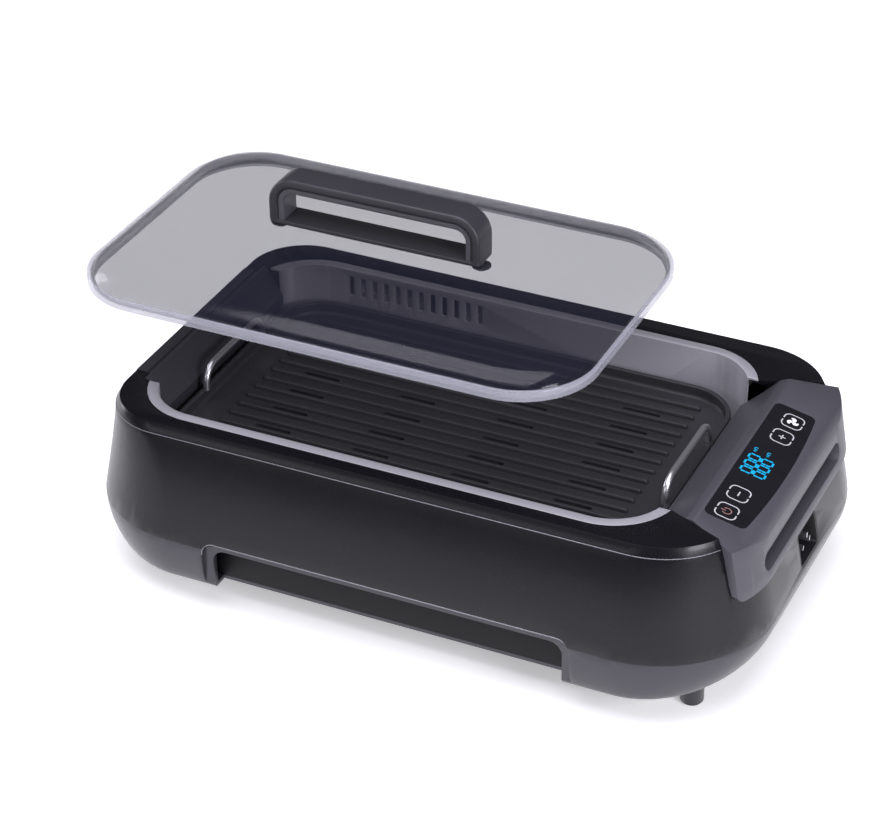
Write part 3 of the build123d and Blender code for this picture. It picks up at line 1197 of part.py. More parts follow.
def hoop(length, height, corner, depth, wall):
    """Handle hoop that stands on the foot plate: an arch with rounded upper corners."""
    low = CROWN_TOP + HANDLE_BASE

    def arch(inset):
        size = (length - 2 * inset, 2 * (height - inset))
        face = RectangleRounded(*size, corner - inset)
        solid = extrude(Plane.XZ * face, depth / 2, both=True)
        return Pos(HANDLE_X, HANDLE_SET_BACK, low) * solid

    upper = block(-BODY_LENGTH, BODY_LENGTH, -BODY_DEPTH, BODY_DEPTH, low, low + BODY_DEPTH)
    return (arch(0) - arch(wall)) & upper


def handle_strap():
    """Outer strap of the handle, wide and smooth, with eased edges."""
    height = HANDLE_HEIGHT - HANDLE_BASE
    strap = hoop(HANDLE_LENGTH, height, STRAP_CORNER, HANDLE_DEPTH, STRAP_THICKNESS)
    strap -= handle_bores(HANDLE_SCREW_RADIUS, CROWN_TOP, CROWN_TOP + HANDLE_BASE + SCREW_BITE)
    return lid_place() * strap


def handle_arch():
    """Inner arch of the handle, slightly narrower than the strap around it."""
    height = HANDLE_HEIGHT - HANDLE_BASE - STRAP_THICKNESS
    inner = hoop(HANDLE_LENGTH - 2 * STRAP_THICKNESS, height, STRAP_CORNER - STRAP_THICKNESS,
                 HANDLE_DEPTH - 2 * ARCH_BAR_INSET, ARCH_BAR)
    return lid_place() * inner


def handle_washers():
    """Silicone washers between the foot plate's screws and the glass."""
    low = CROWN_TOP - LID_GLASS - WASHER_THICKNESS
    washers = handle_bores(WASHER_RADIUS, low, CROWN_TOP - LID_GLASS)
    washers -= handle_bores(HANDLE_SCREW_RADIUS + SNUG, low - OVERRUN, CROWN_TOP)
    return lid_place() * washers


def handle_screws():
    """Two screws up through the glass into the strap."""
    low = CROWN_TOP - LID_GLASS - WASHER_THICKNESS
    screws = handle_bores(HANDLE_SCREW_RADIUS, low, CROWN_TOP + HANDLE_BASE + SCREW_BITE)
    screws += handle_bores(SCREW_HEAD_RADIUS, low - SCREW_HEAD_HEIGHT, low)
    return lid_place() * screws


PIECES = {
    "outer_housing": outer_housing,
    "base_shell": base_shell,
    "bottom_pan": bottom_pan,
    "foot_pad_front_left": lambda: foot_pad(-LEG_X, -LEG_Y),
    "foot_pad_front_right": lambda: foot_pad(LEG_X, -LEG_Y),
    "foot_pad_rear_left": lambda: foot_pad(-LEG_X, LEG_Y),
    "foot_pad_rear_right": lambda: foot_pad(LEG_X, LEG_Y),
    "liner": liner,
    "left_end_cover": left_end_cover,
    "control_panel_housing": control_panel_housing,
    "touch_panel_glass": touch_panel_glass,
    "display_module": display_module,
    "touch_sensor_springs": touch_sensor_springs,
    "control_board": control_board,
    "power_inlet": power_inlet,
    "inlet_pins": inlet_pins,
    "power_board": power_board,
    "power_board_parts": power_board_parts,
    "fan_scroll": fan_scroll,
    "fan_motor": fan_motor,
    "smoke_duct": smoke_duct,
    "outlet_grille": outlet_grille,
    "heat_shield": heat_shield,
    "thermal_cutout": thermal_cutout,
    "terminal_socket": terminal_socket,
    "base_screws": base_screws,
    "mains_wires": mains_wires,
    "impeller": impeller,
    "motor_shaft": motor_shaft,
    "drip_tray": drip_tray,
    "grill_plate": grill_plate,
    "plate_handle_left": lambda: plate_handle(-1),
    "plate_handle_right": lambda: plate_handle(1),
    "heating_element": heating_element,
    "element_clamps": element_clamps,
    "clamp_screws": clamp_screws,
    "terminal_plug": terminal_plug,
    "terminal_pins": terminal_pins,
    "lid_rim": lid_rim,
    "lid_glass": lid_glass,
    "handle_base": handle_base,
    "handle_strap": handle_strap,
    "handle_arch": handle_arch,
    "handle_washers": handle_washers,
    "handle_screws": handle_screws,
}

os.makedirs("parts", exist_ok=True)
for name, make in PIECES.items():
    export_step(Pos(FRAME_SHIFT, 0, 0) * make(), f"parts/{name}.step")
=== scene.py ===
"""Looks of the smokeless indoor grill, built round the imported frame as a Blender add-on run as a script.

Lengths in the functions are millimetres in the frame's axes; MM turns them into metres when a mesh is made.
"""

import json
import math

import bmesh
import bpy
import numpy as np
from bpy.props import FloatProperty, FloatVectorProperty, PointerProperty
from mathutils import Matrix, Vector


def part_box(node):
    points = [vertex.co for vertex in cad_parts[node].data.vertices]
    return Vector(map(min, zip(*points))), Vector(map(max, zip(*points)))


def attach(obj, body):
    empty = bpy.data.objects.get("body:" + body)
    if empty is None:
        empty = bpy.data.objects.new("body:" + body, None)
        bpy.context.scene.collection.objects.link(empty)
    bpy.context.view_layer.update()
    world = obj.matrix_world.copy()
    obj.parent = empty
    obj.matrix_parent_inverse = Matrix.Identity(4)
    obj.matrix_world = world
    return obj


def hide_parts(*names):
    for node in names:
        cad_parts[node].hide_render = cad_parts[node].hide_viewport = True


bl_info = {
    "name": "Smokeless indoor grill",
    "version": (1, 0, 0),
    "blender": (4, 5, 0),
    "location": "View3D > Sidebar > Grill",
    "description": "Dresses the grill's solids with finished pieces, materials and a plain studio",
    "category": "Object",
}

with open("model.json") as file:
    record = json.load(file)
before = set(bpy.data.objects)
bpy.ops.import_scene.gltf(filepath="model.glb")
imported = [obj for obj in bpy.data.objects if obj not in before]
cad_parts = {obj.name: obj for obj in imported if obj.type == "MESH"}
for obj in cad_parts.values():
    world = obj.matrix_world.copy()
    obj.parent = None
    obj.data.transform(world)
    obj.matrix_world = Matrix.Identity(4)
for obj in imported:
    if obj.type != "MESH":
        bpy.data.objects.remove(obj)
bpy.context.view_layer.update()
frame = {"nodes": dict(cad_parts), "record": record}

MM = 0.001

# The camera that the photograph was taken with, in pixels of its frame and metres
PHOTO_WIDTH = 891
PHOTO_HEIGHT = 824
FOCAL_PIXELS = 2700.0
SENSOR_WIDTH = 36.0
AIM_PIXEL = (476.56, 478.85)
AIM_HEIGHT = 0.061
CAMERA_AZIMUTH = 24.33
CAMERA_ELEVATION = 33.79
CAMERA_DISTANCE = 2.010

# Driving sizes that the pieces share with the solids: the touch glass, the pale lines that paint a highlight
# along the housings' edges, the lid, its handle, and the plate with its ribs, drain slots and wire handles
PANEL_FACE_RUN = 42.0
PANEL_FACE_DROP = 9.5
GLASS_THICKNESS = 1.6
GLASS_BOW = 4.5
SEAM_HEIGHT = 61.0
SEAM_CORNER = 90.0
BASE_ARCH_RISE = 5.5
BASE_ARCH_CORNER = 10.0
BASE_ARCH_HALF_LENGTH = 143.0
# Inset of the arch's painted highlight line and radius of the seam's painted highlight lines
BASE_ARCH_HIGHLIGHT_INSET = 0.5
SEAM_HIGHLIGHT_RADIUS = 0.45
BODY_TAPER = 20.0
SHOULDER_HEIGHT = 136.0
SHOULDER_CORNER = 66.0
LEFT_SHOULDER_CORNER = 50.0
# Radius of the painted highlight line along the shoulder
SHOULDER_HIGHLIGHT_RADIUS = 0.3
PANEL_HALF_SPAN = 112.0
LID_RIM_WIDTH = 6.0
LID_RIM_SEAT = 3.0
LID_RIM_EASES = (2.2, 0.6, 0.3, 0.3, 1.0, 2.2)
LID_REBATE = 3.3
LID_CORNER = 57.0
LID_GLASS_GAP = 0.3
LID_GLASS_THICKNESS = 4.0
CROWN_INSETS = (0.0, 4.0, 14.0, 32.0)
CROWN_HEIGHTS = (0.0, 5.6, 10.92, 14.0)
STRAP_THICKNESS = 7.0
STRAP_CORNER = 20.0
STRAP_EASE = 2.2
HANDLE_ARCH_THICKNESS = 4.5
HANDLE_ARCH_EASE = 0.9
HANDLE_FOOT_CORNER = 3.0
HANDLE_FOOT_EASE = 0.8
PLATE_CORNER = 40.0
PLATE_UNDERSIDE_INSET = 3.0
PLATE_RIM_WALL = 4.0
PLATE_FLOOR_INSET = 14.0
PLATE_FLOOR_DROP = 9.0
PLATE_THICKNESS = 5.0
PLATE_EASES = (0.0, 2.0, 1.6, 1.4, 3.0, 0.0)
RIB_COUNT = 15
RIB_HEIGHT = 3.0
RIB_WIDTH = 4.0
RIB_SINK = 0.4
RIB_MARGIN = 16.0
RIB_END_MARGIN = 24.0
DRAIN_LENGTH = 30.0
DRAIN_WIDTH = 4.0
DRAIN_FLAT_END = 0.02
DRAIN_COLUMNS = 4
WIRE_RADIUS = 2.5
WIRE_BEND = 14.0

# Rib's half width lost at its top, and its end radius, as shares of its half width
RIB_TAPER_SHARE = 0.55
RIB_ROUND_SHARE = 0.98

# Places down and along the glass of its marks, and the sizes of their frames and signs
MARK_PLACES = {"power": (-1.7, -65.3), "minus": (-1.3, -42.4), "plus": (1.9, 39.1), "fan": (2.6, 61.3)}
MARK_HALF_DOWN = 7.5
MARK_HALF_ALONG = 7.8
MARK_ROUND = 4.2
MARK_GAP = 2.2
SIGN_ARM = 2.7
POWER_RADIUS = 3.2
POWER_STEM = (-4.4, -2.6, -0.8)
POWER_STROKE_SHARE = 0.8
FAN_TIP_REACH = 2.3
FAN_TIP_RADIUS = 1.5
FAN_TIP_STROKE = 1.7
FAN_ARM_REACHES = (0.0, 1.2, 2.6)
FAN_ARM_STROKE = 1.5

# Angles of the marks and of the unit's ring and hook, in degrees from the way down the slope
POWER_TURN = 145
FAN_TURNS = (100, 220, 340)
FAN_TIP_START = -150
FAN_TIP_END = 60
UNIT_RING_END = 350
UNIT_HOOK_START = 40
UNIT_HOOK_END = 320

# The lit digits: start along the glass, rows down it, and the sizes of a digit and its unit's ring and hook
DIGIT_START = -16.0
DIGIT_ROWS = (-6.4, 3.4)
DIGIT_COUNT = 3
DIGIT_WIDTH = 5.9
DIGIT_HEIGHT = 8.2
DIGIT_PITCH = 8.3
DIGIT_STROKE = 1.5
DIGIT_BREAK = 0.2
UNIT_GAP = 2.0
UNIT_RING_RISE = 2.4
UNIT_RING_RADIUS = 0.7
UNIT_RING_STROKE = 0.5
UNIT_HOOK_RISE = 2.2
UNIT_HOOK_SHIFT = 3.0
UNIT_HOOK_RADIUS = 1.3
UNIT_HOOK_STROKE = 0.7

# Nodes that the photograph shows in another finish than their slot's
FINISH_INSTEAD = {"inlet_pins": "fastener"}

# Nodes whose own shape is kept, with its edges softened
MOULDED_NODES = ("outer_housing", "base_shell", "control_panel_housing", "left_end_cover", "liner",
                 "power_inlet", "bottom_pan")

# Keeps the names of the materials made here apart from the frame's own
FINISH_PREFIX = "finish_"

# Studio: colour of the light, glow of floor and air, and each lamp's place and size in metres and its watts
COOL_LIGHT = (0.93, 0.915, 1.0)
FLOOR_GLOW = 0.4
AIR_GLOW = 0.12
LAMP_AIM = (0.0, 0.0, 0.1)
LAMPS = {
    "top_light": ((0.0, -0.5, 2.2), (2.2, 2.0), 62.0),
    "left_light": ((-1.9, 0.1, 0.6), (0.5, 1.2), 12.0),
    "right_light": ((1.5, -0.75, 0.78), (0.7, 0.7), 22.0),
    "front_light": ((-0.9, -2.2, 1.0), (1.6, 0.5), 5.5),
}

# How finely round stretches are divided, and how far in a straight's shading points stand
ARC_STEPS = 14
EDGE_STEPS = 4
PLATE_EDGE_STEPS = 5
BEVEL_STEPS = 2
RIB_STEPS = 6
OUTLINE_STEPS = 4
CROWN_STEPS = 18
WIRE_STEPS = 24
THREAD_STEPS = 8
SUPPORT = 1.2

# Sides of a rectangle's middle on which its corners lie, a quarter turn at a time
QUARTERS = ((1, 1), (-1, 1), (-1, -1), (1, -1))

# Smallest corner of a drawn-in outline, how near points are merged, and the degrees that count as flat
LEAST_CORNER = 0.2
MERGE_DISTANCE = 0.002
FLAT_ANGLE = 0.2

# Degrees between two faces from which their edge stays sharp, or is softened
EDGE_ANGLE = 35.0
HOUSING_EDGE_ANGLE = 28.0
PLATE_EDGE_ANGLE = 40.0
ROUND_EDGE_ANGLE = 50.0


def length_property(name, description, value, least=0.0):
    """Length setting with its name, description and default in metres."""
    settings = {"name": name, "description": description, "default": value}
    return FloatProperty(**settings, min=least, unit="LENGTH")


def colour_property(name, description, value):
    """Colour setting with its name, description and default."""
    settings = {"name": name, "description": description, "default": value}
    return FloatVectorProperty(**settings, subtype="COLOR", min=0.0, max=1.0)


class GrillSizes(bpy.types.PropertyGroup):
    """Sizes of the finish that a user would change."""

    edge_softness: length_property("Edge softness", "Width of softened edges on moulded pieces", 0.45 * MM)
    mark_stroke: length_property("Mark stroke", "Width of the lines printed on the touch glass", 0.95 * MM)
    mark_lift: length_property("Mark lift", "How far the printed lines stand off the touch glass", 0.06 * MM)
    floor_size: length_property("Floor size", "Side of the pale floor", 14.0, 1.0)


class GrillColours(bpy.types.PropertyGroup):
    """Colours that a user would change, as linear light."""

    housing: colour_property("Housing", "Dark satin housing", (0.0045, 0.0042, 0.0062))
    base: colour_property("Base", "Grey lacquered base", (0.042, 0.040, 0.048))
    pan: colour_property("Pan", "Black pan between the arches", (0.004, 0.004, 0.005))
    liner: colour_property("Liner", "Light grey tub of the well", (0.35, 0.345, 0.375))
    panel: colour_property("Panel", "Grey panel housing", (0.066, 0.064, 0.074))
    plate: colour_property("Plate", "Coated grill plate", (0.030, 0.029, 0.033))
    lid_tint: colour_property("Lid tint", "Grey tint of the lid glass", (0.013, 0.013, 0.026))
    handle: colour_property("Handle", "Black satin handle", (0.032, 0.031, 0.037))
    ink: colour_property("Ink", "Light grey marks on the touch glass", (0.50, 0.50, 0.52))
    digits: colour_property("Digits", "Light of the digits", (0.0, 0.36, 0.66))
    floor: colour_property("Floor", "Pale floor", (0.93, 0.93, 0.93))


class Wire:
    """A value or colour on its way through a material: sums on it add Math nodes."""

    def __init__(self, finish, socket):
        self.finish = finish
        self.socket = socket

    def math(self, operation, first, second):
        """One Math node on two values."""
        return self.finish.node("ShaderNodeMath", {"operation": operation}, {0: first, 1: second})

    def __add__(self, other):
        return self.math("ADD", self, other)

    def __radd__(self, other):
        return self.math("ADD", other, self)

    def __mul__(self, other):
        return self.math("MULTIPLY", self, other)


class Finish:
    """One material in the making: node() adds any node, drive() feeds the surface shader."""

    def __init__(self, name, **constants):
        self.material = bpy.data.materials.new(FINISH_PREFIX + name)
        self.material.use_nodes = True
        self.tree = self.material.node_tree
        self.shader = self.tree.nodes["Principled BSDF"]
        for socket, value in constants.items():
            self.shader.inputs[socket.replace("_", " ")].default_value = value

    def node(self, kind, settings=None, inputs=None, output=0):
        """Adds one node: its settings first, then its sockets; gives back one output."""
        made = self.tree.nodes.new(kind)
        for key, value in (settings or {}).items():
            if key == "stops":
                self.set_stops(made.color_ramp, value)
            else:
                setattr(made, key, value)
        for key, value in (inputs or {}).items():
            self.feed(made.inputs[key], value)
        return Wire(self, made.outputs[output])

    def set_stops(self, ramp, stops):
        """Puts the stops of a colour ramp, as (place, grey) pairs."""
        while len(ramp.elements) < len(stops):
            ramp.elements.new(1.0)
        for element, (place, grey) in zip(ramp.elements, stops):
            element.position = place
            element.color = (grey, grey, grey, 1.0)

    def feed(self, socket, value):
        """Links a wire to a socket, or sets a plain value on it."""
        if isinstance(value, Wire):
            self.tree.links.new(value.socket, socket)
        else:
            socket.default_value = value

    def drive(self, socket, value):
        """Feeds one input of the surface shader."""
        self.feed(self.shader.inputs[socket], value)

    def place(self):
        """Object coordinates, in metres."""
        return self.node("ShaderNodeTexCoord", output="Object")

    def noise(self, scale, detail=2.0, stretch=None):
        """Noise with a number of cells to the metre, drawn out along the axes by stretch."""
        where = self.place()
        if stretch is not None:
            where = self.node("ShaderNodeMapping", {}, {"Vector": where, "Scale": stretch})
        return self.node("ShaderNodeTexNoise", {}, {"Vector": where, "Scale": scale, "Detail": detail})

    def blend(self, share, first, second):
        """Colour between two colours by a share."""
        colours = {0: share, 6: (*first, 1.0), 7: (*second, 1.0)}
        return self.node("ShaderNodeMix", {"data_type": "RGBA"}, colours, output=2)

    def bump(self, height, distance, strength):
        """Feeds the shader's normal from a height field, which is distance metres deep."""
        inputs = {"Strength": strength, "Distance": distance, "Height": height}
        self.drive("Normal", self.node("ShaderNodeBump", {}, inputs))


def shade(colour, factor):
    """A colour made lighter or darker."""
    return tuple(min(channel * factor, 1.0) for channel in colour)


def moulded(name, colour, roughness, **constants):
    """Moulded plastic: fine spark-eroded grain, soft clouds of tone and a little change of gloss."""
    finish = Finish(name, **constants)
    soft = finish.noise(14.0, 3.0)
    fine = finish.noise(1800.0, 3.0)
    finish.drive("Base Color", finish.blend(soft, shade(colour, 0.86), shade(colour, 1.14)))
    finish.drive("Roughness", roughness - 0.05 + soft * 0.06 + fine * 0.05)
    finish.bump(fine, 0.00002, 0.5)
    return finish.material


def lacquered(name, colour, roughness, metal):
    """Metallic lacquer: a fine flake that catches light, under an even clear coat."""
    finish = Finish(name, Coat_Weight=0.25, Coat_Roughness=0.22)
    flakes = finish.noise(5200.0, 1.0)
    clouds = finish.noise(9.0, 2.0)
    sparkle = finish.node("ShaderNodeValToRGB", {"stops": ((0.42, 0.0), (0.72, 1.0))}, {0: flakes})
    finish.drive("Base Color", finish.blend(sparkle, shade(colour, 0.88), shade(colour, 1.25)))
    finish.drive("Metallic", metal - 0.1 + sparkle * 0.2)
    finish.drive("Roughness", roughness - 0.03 + clouds * 0.06)
    finish.bump(flakes, 0.000008, 0.3)
    return finish.material


def coated(name, colour):
    """Non-stick coating: dark, sprayed a little uneven, with a pale fine speckle."""
    finish = Finish(name, Specular_IOR_Level=0.4)
    spray = finish.noise(900.0, 4.0)
    specks = finish.noise(2600.0, 1.0)
    pale = finish.node("ShaderNodeValToRGB", {"stops": ((0.66, 0.0), (0.74, 1.0))}, {0: specks})
    finish.drive("Base Color", finish.blend(pale * 0.55, colour, shade(colour, 4.0)))
    finish.drive("Roughness", 0.34 + spray * 0.14)
    finish.bump(spray, 0.00006, 0.5)
    return finish.material


def drawn_metal(name, colour, roughness, stretch, tint=0.82):
    """Bright metal with drawing lines: noise pulled out along the way it was drawn."""
    finish = Finish(name)
    lines = finish.noise(420.0, 3.0, stretch)
    stains = finish.noise(26.0, 3.0)
    finish.drive("Base Color", finish.blend(stains, shade(colour, tint), colour))
    finish.drive("Metallic", 0.94 + lines * 0.06)
    finish.drive("Roughness", roughness - 0.06 + lines * 0.14)
    finish.bump(lines, 0.00003, 0.4)
    return finish.material


def fired_sheath(name, colour):
    """Heating tube: steel browned unevenly by its own heat."""
    finish = Finish(name)
    heat = finish.noise(60.0, 4.0)
    scale = finish.noise(1500.0, 3.0)
    finish.drive("Base Color", finish.blend(heat, shade(colour, 0.55), shade(colour, 1.3)))
    finish.drive("Metallic", 0.75 + heat * 0.2)
    finish.drive("Roughness", 0.4 + scale * 0.2)
    finish.bump(scale, 0.00004, 0.5)
    return finish.material


def rubbery(name, colour):
    """Rubber: dull, faintly dusty, with a soft pitted skin."""
    finish = Finish(name, Specular_IOR_Level=0.3)
    dust = finish.noise(220.0, 4.0)
    pits = finish.noise(3000.0, 2.0)
    finish.drive("Base Color", finish.blend(dust, shade(colour, 0.8), shade(colour, 1.6)))
    finish.drive("Roughness", 0.72 + dust * 0.16)
    finish.bump(pits, 0.00004, 0.6)
    return finish.material


def black_glass(name):
    """Touch glass: near black and glossy, with a faint change of gloss from wiping."""
    finish = Finish(name, IOR=1.5, Specular_IOR_Level=0.4)
    wipes = finish.noise(40.0, 3.0, (1.0, 4.0, 1.0))
    finish.drive("Base Color", finish.blend(wipes, (0.006, 0.006, 0.008), (0.010, 0.010, 0.013)))
    finish.drive("Roughness", 0.16 + wipes * 0.08)
    return finish.material


def tinted_glass(name, tint, cover, roughness):
    """Lid glass: lets part of the light through and lays a grey tint over what is behind it."""
    finish = Finish(name, IOR=1.45)
    film = finish.noise(7.0, 2.0)
    finish.drive("Base Color", finish.blend(film, shade(tint, 0.94), shade(tint, 1.06)))
    finish.drive("Roughness", roughness + film * 0.03)
    finish.drive("Alpha", cover - 0.01 + film * 0.02)
    return finish.material


def circuit_board(name):
    """Printed board: green lacquer in two greens with paler tracks."""
    finish = Finish(name, Coat_Weight=0.4, Coat_Roughness=0.15)
    tracks = finish.node(
        "ShaderNodeTexBrick",
        {"offset": 0.3, "squash": 0.7},
        {"Vector": finish.place(), "Scale": 160.0, "Mortar Size": 0.03, "Color1": (0.01, 0.08, 0.03, 1.0),
         "Color2": (0.014, 0.11, 0.045, 1.0), "Mortar": (0.05, 0.28, 0.12, 1.0)},
    )
    finish.drive("Base Color", tracks)
    finish.drive("Roughness", 0.32 + finish.noise(500.0) * 0.12)
    return finish.material


def printed_ink(name, colour):
    """Light ink under the touch glass: even, with the least grain of a screen print."""
    finish = Finish(name)
    screen = finish.noise(4000.0, 1.0)
    finish.drive("Base Color", finish.blend(screen, shade(colour, 0.94), shade(colour, 1.06)))
    finish.drive("Roughness", 0.4 + screen * 0.1)
    return finish.material


def lit_ink(name, colour, strength):
    """Lit digits: coloured light with a slightly brighter core."""
    finish = Finish(name, Roughness=0.5, Emission_Strength=strength)
    core = finish.noise(900.0, 1.0)
    finish.drive("Base Color", finish.blend(core, shade(colour, 0.3), shade(colour, 0.35)))
    finish.drive("Emission Color", finish.blend(core, shade(colour, 0.9), shade(colour, 1.1)))
    return finish.material


def make_finishes(colours):
    """Every material of the grill by the record's slot that it dresses."""
    tall = (1.0, 1.0, 0.05)
    flat = (0.04, 1.0, 1.0)
    grey = (0.13, 0.13, 0.14)
    return {
        "housing_dark": moulded("housing_dark", colours.housing, 0.27, Specular_IOR_Level=0.3),
        "base_grey": lacquered("base_grey", colours.base, 0.34, 0.6),
        "pan_black": moulded("pan_black", colours.pan, 0.5, Specular_IOR_Level=0.2),
        "pad_rubber": rubbery("pad_rubber", (0.02, 0.02, 0.02)),
        "liner_grey": lacquered("liner_grey", colours.liner, 0.36, 0.2),
        "cover_grey": moulded("cover_grey", (0.036, 0.035, 0.042), 0.36, Specular_IOR_Level=0.4),
        "panel_grey": moulded("panel_grey", colours.panel, 0.40, Specular_IOR_Level=0.25),
        "touch_glass": black_glass("touch_glass"),
        "board": circuit_board("board"),
        "inner_plastic": moulded("inner_plastic", (0.008, 0.008, 0.009), 0.5, Specular_IOR_Level=0.3),
        "inner_metal": drawn_metal("inner_metal", (0.62, 0.62, 0.64), 0.34, flat),
        "fastener": drawn_metal("fastener", (0.56, 0.56, 0.57), 0.3, tall),
        "copper": drawn_metal("copper", (0.78, 0.57, 0.27), 0.26, flat),
        "cable_skin": rubbery("cable_skin", (0.03, 0.03, 0.03)),
        "plate_coated": coated("plate_coated", colours.plate),
        "tray_metal": lacquered("tray_metal", (0.09, 0.09, 0.10), 0.42, 0.6),
        "wire_steel": drawn_metal("wire_steel", (0.78, 0.78, 0.80), 0.3, tall, 0.95),
        "element_sheath": fired_sheath("element_sheath", (0.20, 0.15, 0.12)),
        "ceramic_black": moulded("ceramic_black", (0.016, 0.015, 0.015), 0.62),
        "lid_clear": tinted_glass("lid_clear", colours.lid_tint, 0.43, 0.08),
        "rim_clear": tinted_glass("rim_clear", (0.42, 0.42, 0.48), 0.45, 0.10),
        "handle_dark": moulded("handle_dark", colours.handle, 0.38, Specular_IOR_Level=0.4),
        "handle_light": moulded("handle_light", (0.075, 0.073, 0.085), 0.36),
        "silicone": rubbery("silicone", grey),
        # Pale lacquer of the thin lines that paint highlights on the seam, over the arches and along the
        # shoulder
        "edge_light": lacquered("edge_light", (0.22, 0.215, 0.24), 0.3, 0.5),
        "ink_grey": printed_ink("ink_grey", colours.ink),
        "ink_red": printed_ink("ink_red", (0.30, 0.16, 0.15)),
        "ink_white": printed_ink("ink_white", (0.86, 0.86, 0.86)),
        "digit_light": lit_ink("digit_light", colours.digits, 1.0),
    }


def finish_of(slot):
    """The material made for a slot."""
    return bpy.data.materials[FINISH_PREFIX + slot]


def slot_of(node):
    """The record's material slot of a node."""
    return next(part["material_slot"] for part in frame["record"]["subparts"] if part["node"] == node)


def box_mm(node):
    """Lowest and highest corner of a node, in millimetres."""
    low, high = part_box(node)
    return np.array(low) / MM, np.array(high) / MM


def grid_faces(rows, columns, wrap_rows=False, wrap_columns=False):
    """Quads of a grid of points: each joins a point to its right, upper right and upper neighbours."""
    across = np.arange(columns if wrap_columns else columns - 1)
    along = np.arange(rows if wrap_rows else rows - 1)
    j, i = np.meshgrid(across, along)
    right = (j + 1) % columns
    above = (i + 1) % rows
    corners = [i * columns + j, i * columns + right, above * columns + right, above * columns + j]
    return np.stack(corners, axis=-1).reshape(-1, 4)


def shell_of(points, wrap_rows=False, wrap_columns=False, close_first=False, close_last=False):
    """Points and faces of a grid surface; close_first and close_last lay a face over an open end ring."""
    rows, columns = points.shape[:2]
    faces = grid_faces(rows, columns, wrap_rows, wrap_columns).tolist()
    if close_first:
        faces.append(list(range(columns))[::-1])
    if close_last:
        faces.append(list(range((rows - 1) * columns, rows * columns)))
    return points.reshape(-1, 3), faces


def joined(shells):
    """Several shells as one list of points and faces."""
    points, faces, start = [], [], 0
    for some_points, some_faces in shells:
        points.append(some_points)
        faces += [[index + start for index in face] for face in some_faces]
        start += len(some_points)
    return np.concatenate(points), faces


def raw_mesh(name, shell):
    """Blender mesh of a shell given in millimetres, its faces turned outwards."""
    points, faces = shell
    mesh = bpy.data.meshes.new(name)
    mesh.from_pydata((points * MM).tolist(), [], faces)
    work = bmesh.new()
    work.from_mesh(mesh)
    bmesh.ops.recalc_face_normals(work, faces=work.faces)
    work.to_mesh(mesh)
    work.free()
    mesh.update()
    return mesh


def finish_piece(name, mesh, body, slot, replaced=(), sharp=EDGE_ANGLE, soften=0.0):
    """Links a piece, shades it smooth but for its sharp edges, softens them and ties it to its body."""
    piece = bpy.data.objects.new(name, mesh)
    bpy.context.scene.collection.objects.link(piece)
    mesh.materials.clear()
    mesh.materials.append(finish_of(slot))
    mesh.shade_smooth()
    if soften > 0:
        bevel = piece.modifiers.new("Soft edges", "BEVEL")
        bevel.width = soften
        bevel.segments = BEVEL_STEPS
        bevel.limit_method = "ANGLE"
        bevel.angle_limit = math.radians(sharp)
        bevel.harden_normals = True
        bevel.use_clamp_overlap = True
        bevel.miter_outer = "MITER_ARC"
    else:
        mesh.set_sharp_from_angle(angle=math.radians(sharp))
    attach(piece, body)
    if replaced:
        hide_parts(*replaced)
    slot in [material["slot"] for material in frame["record"]["materials"]]
    return piece


def softened_copy(node, body, soften):
    """A node's own shape, merged and with its flat stretches made whole, with softened edges."""
    source = frame["nodes"][node]
    work = bmesh.new()
    work.from_mesh(source.data)
    flat = math.radians(FLAT_ANGLE)
    bmesh.ops.remove_doubles(work, verts=work.verts, dist=MERGE_DISTANCE * MM)
    bmesh.ops.dissolve_limit(work, angle_limit=flat, verts=work.verts, edges=work.edges)
    mesh = bpy.data.meshes.new(node + "_skin")
    work.to_mesh(mesh)
    work.free()
    return finish_piece(node + "_skin", mesh, body, slot_of(node), (node,), HOUSING_EDGE_ANGLE, soften)


def arc(start, end, steps):
    """Angles from start to end, in degrees, as cosines and sines."""
    angles = np.radians(np.linspace(start, end, steps + 1))
    return np.cos(angles), np.sin(angles)


def rounded_rings(sections):
    """Rings of rounded rectangles, one for each row (half length, half depth, corner, z, x, y).

    A point of a ring is its corner's centre plus the corner radius times (cos, sin); each straight
    gets two more points a little way in from its ends, so that shading stays flat along it.
    """
    half_x, half_y, corner, z, x, y = [column[:, None] for column in np.asarray(sections, float).T]
    corners = []
    for turn, (side, end) in enumerate(QUARTERS):
        cos, sin = arc(90 * turn, 90 * turn + 90, ARC_STEPS)
        along = side * (half_x - corner) + corner * cos
        across = end * (half_y - corner) + corner * sin
        corners.append(np.stack([x + along, y + across, z + 0 * along], axis=-1))
    columns = []
    for corner_points, after in zip(corners, corners[1:] + corners[:1]):
        first, last = corner_points[:, -1], after[:, 0]
        way = last - first
        length = np.maximum(np.linalg.norm(way, axis=1, keepdims=True), 1e-6)
        step = np.minimum(SUPPORT / length, 0.25) * way
        columns += [corner_points, (first + step)[:, None], (last - step)[:, None]]
    return np.concatenate(columns, axis=1)


def eased(rows, radii, steps=EDGE_STEPS):
    """A line of section rows with its corners rounded.

    Each corner becomes a quadratic curve that starts and ends at its radius from the corner, measured by
    how far the half length, half depth and height move.
    """
    rows = np.asarray(rows, float)
    share = np.linspace(0, 1, steps + 1)[:, None]
    made = []
    for i, radius in enumerate(radii):
        if radius == 0:
            made.append(rows[i : i + 1])
            continue
        ends = []
        for j in (i - 1, (i + 1) % len(rows)):
            way = rows[j] - rows[i]
            length = max(abs(way[0]), abs(way[1]), abs(way[3]))
            ends.append(rows[i] + way * min(radius / length, 0.5))
        made.append((1 - share) ** 2 * ends[0] + 2 * share * (1 - share) * rows[i] + share**2 * ends[1])
    return np.concatenate(made)


def section(length, depth, corner, z, inset=0.0, middle=(0.0, 0.0)):
    """One row for rounded_rings, drawn in by an inset."""
    return [length / 2 - inset, depth / 2 - inset, max(corner - inset, LEAST_CORNER), z, *middle]


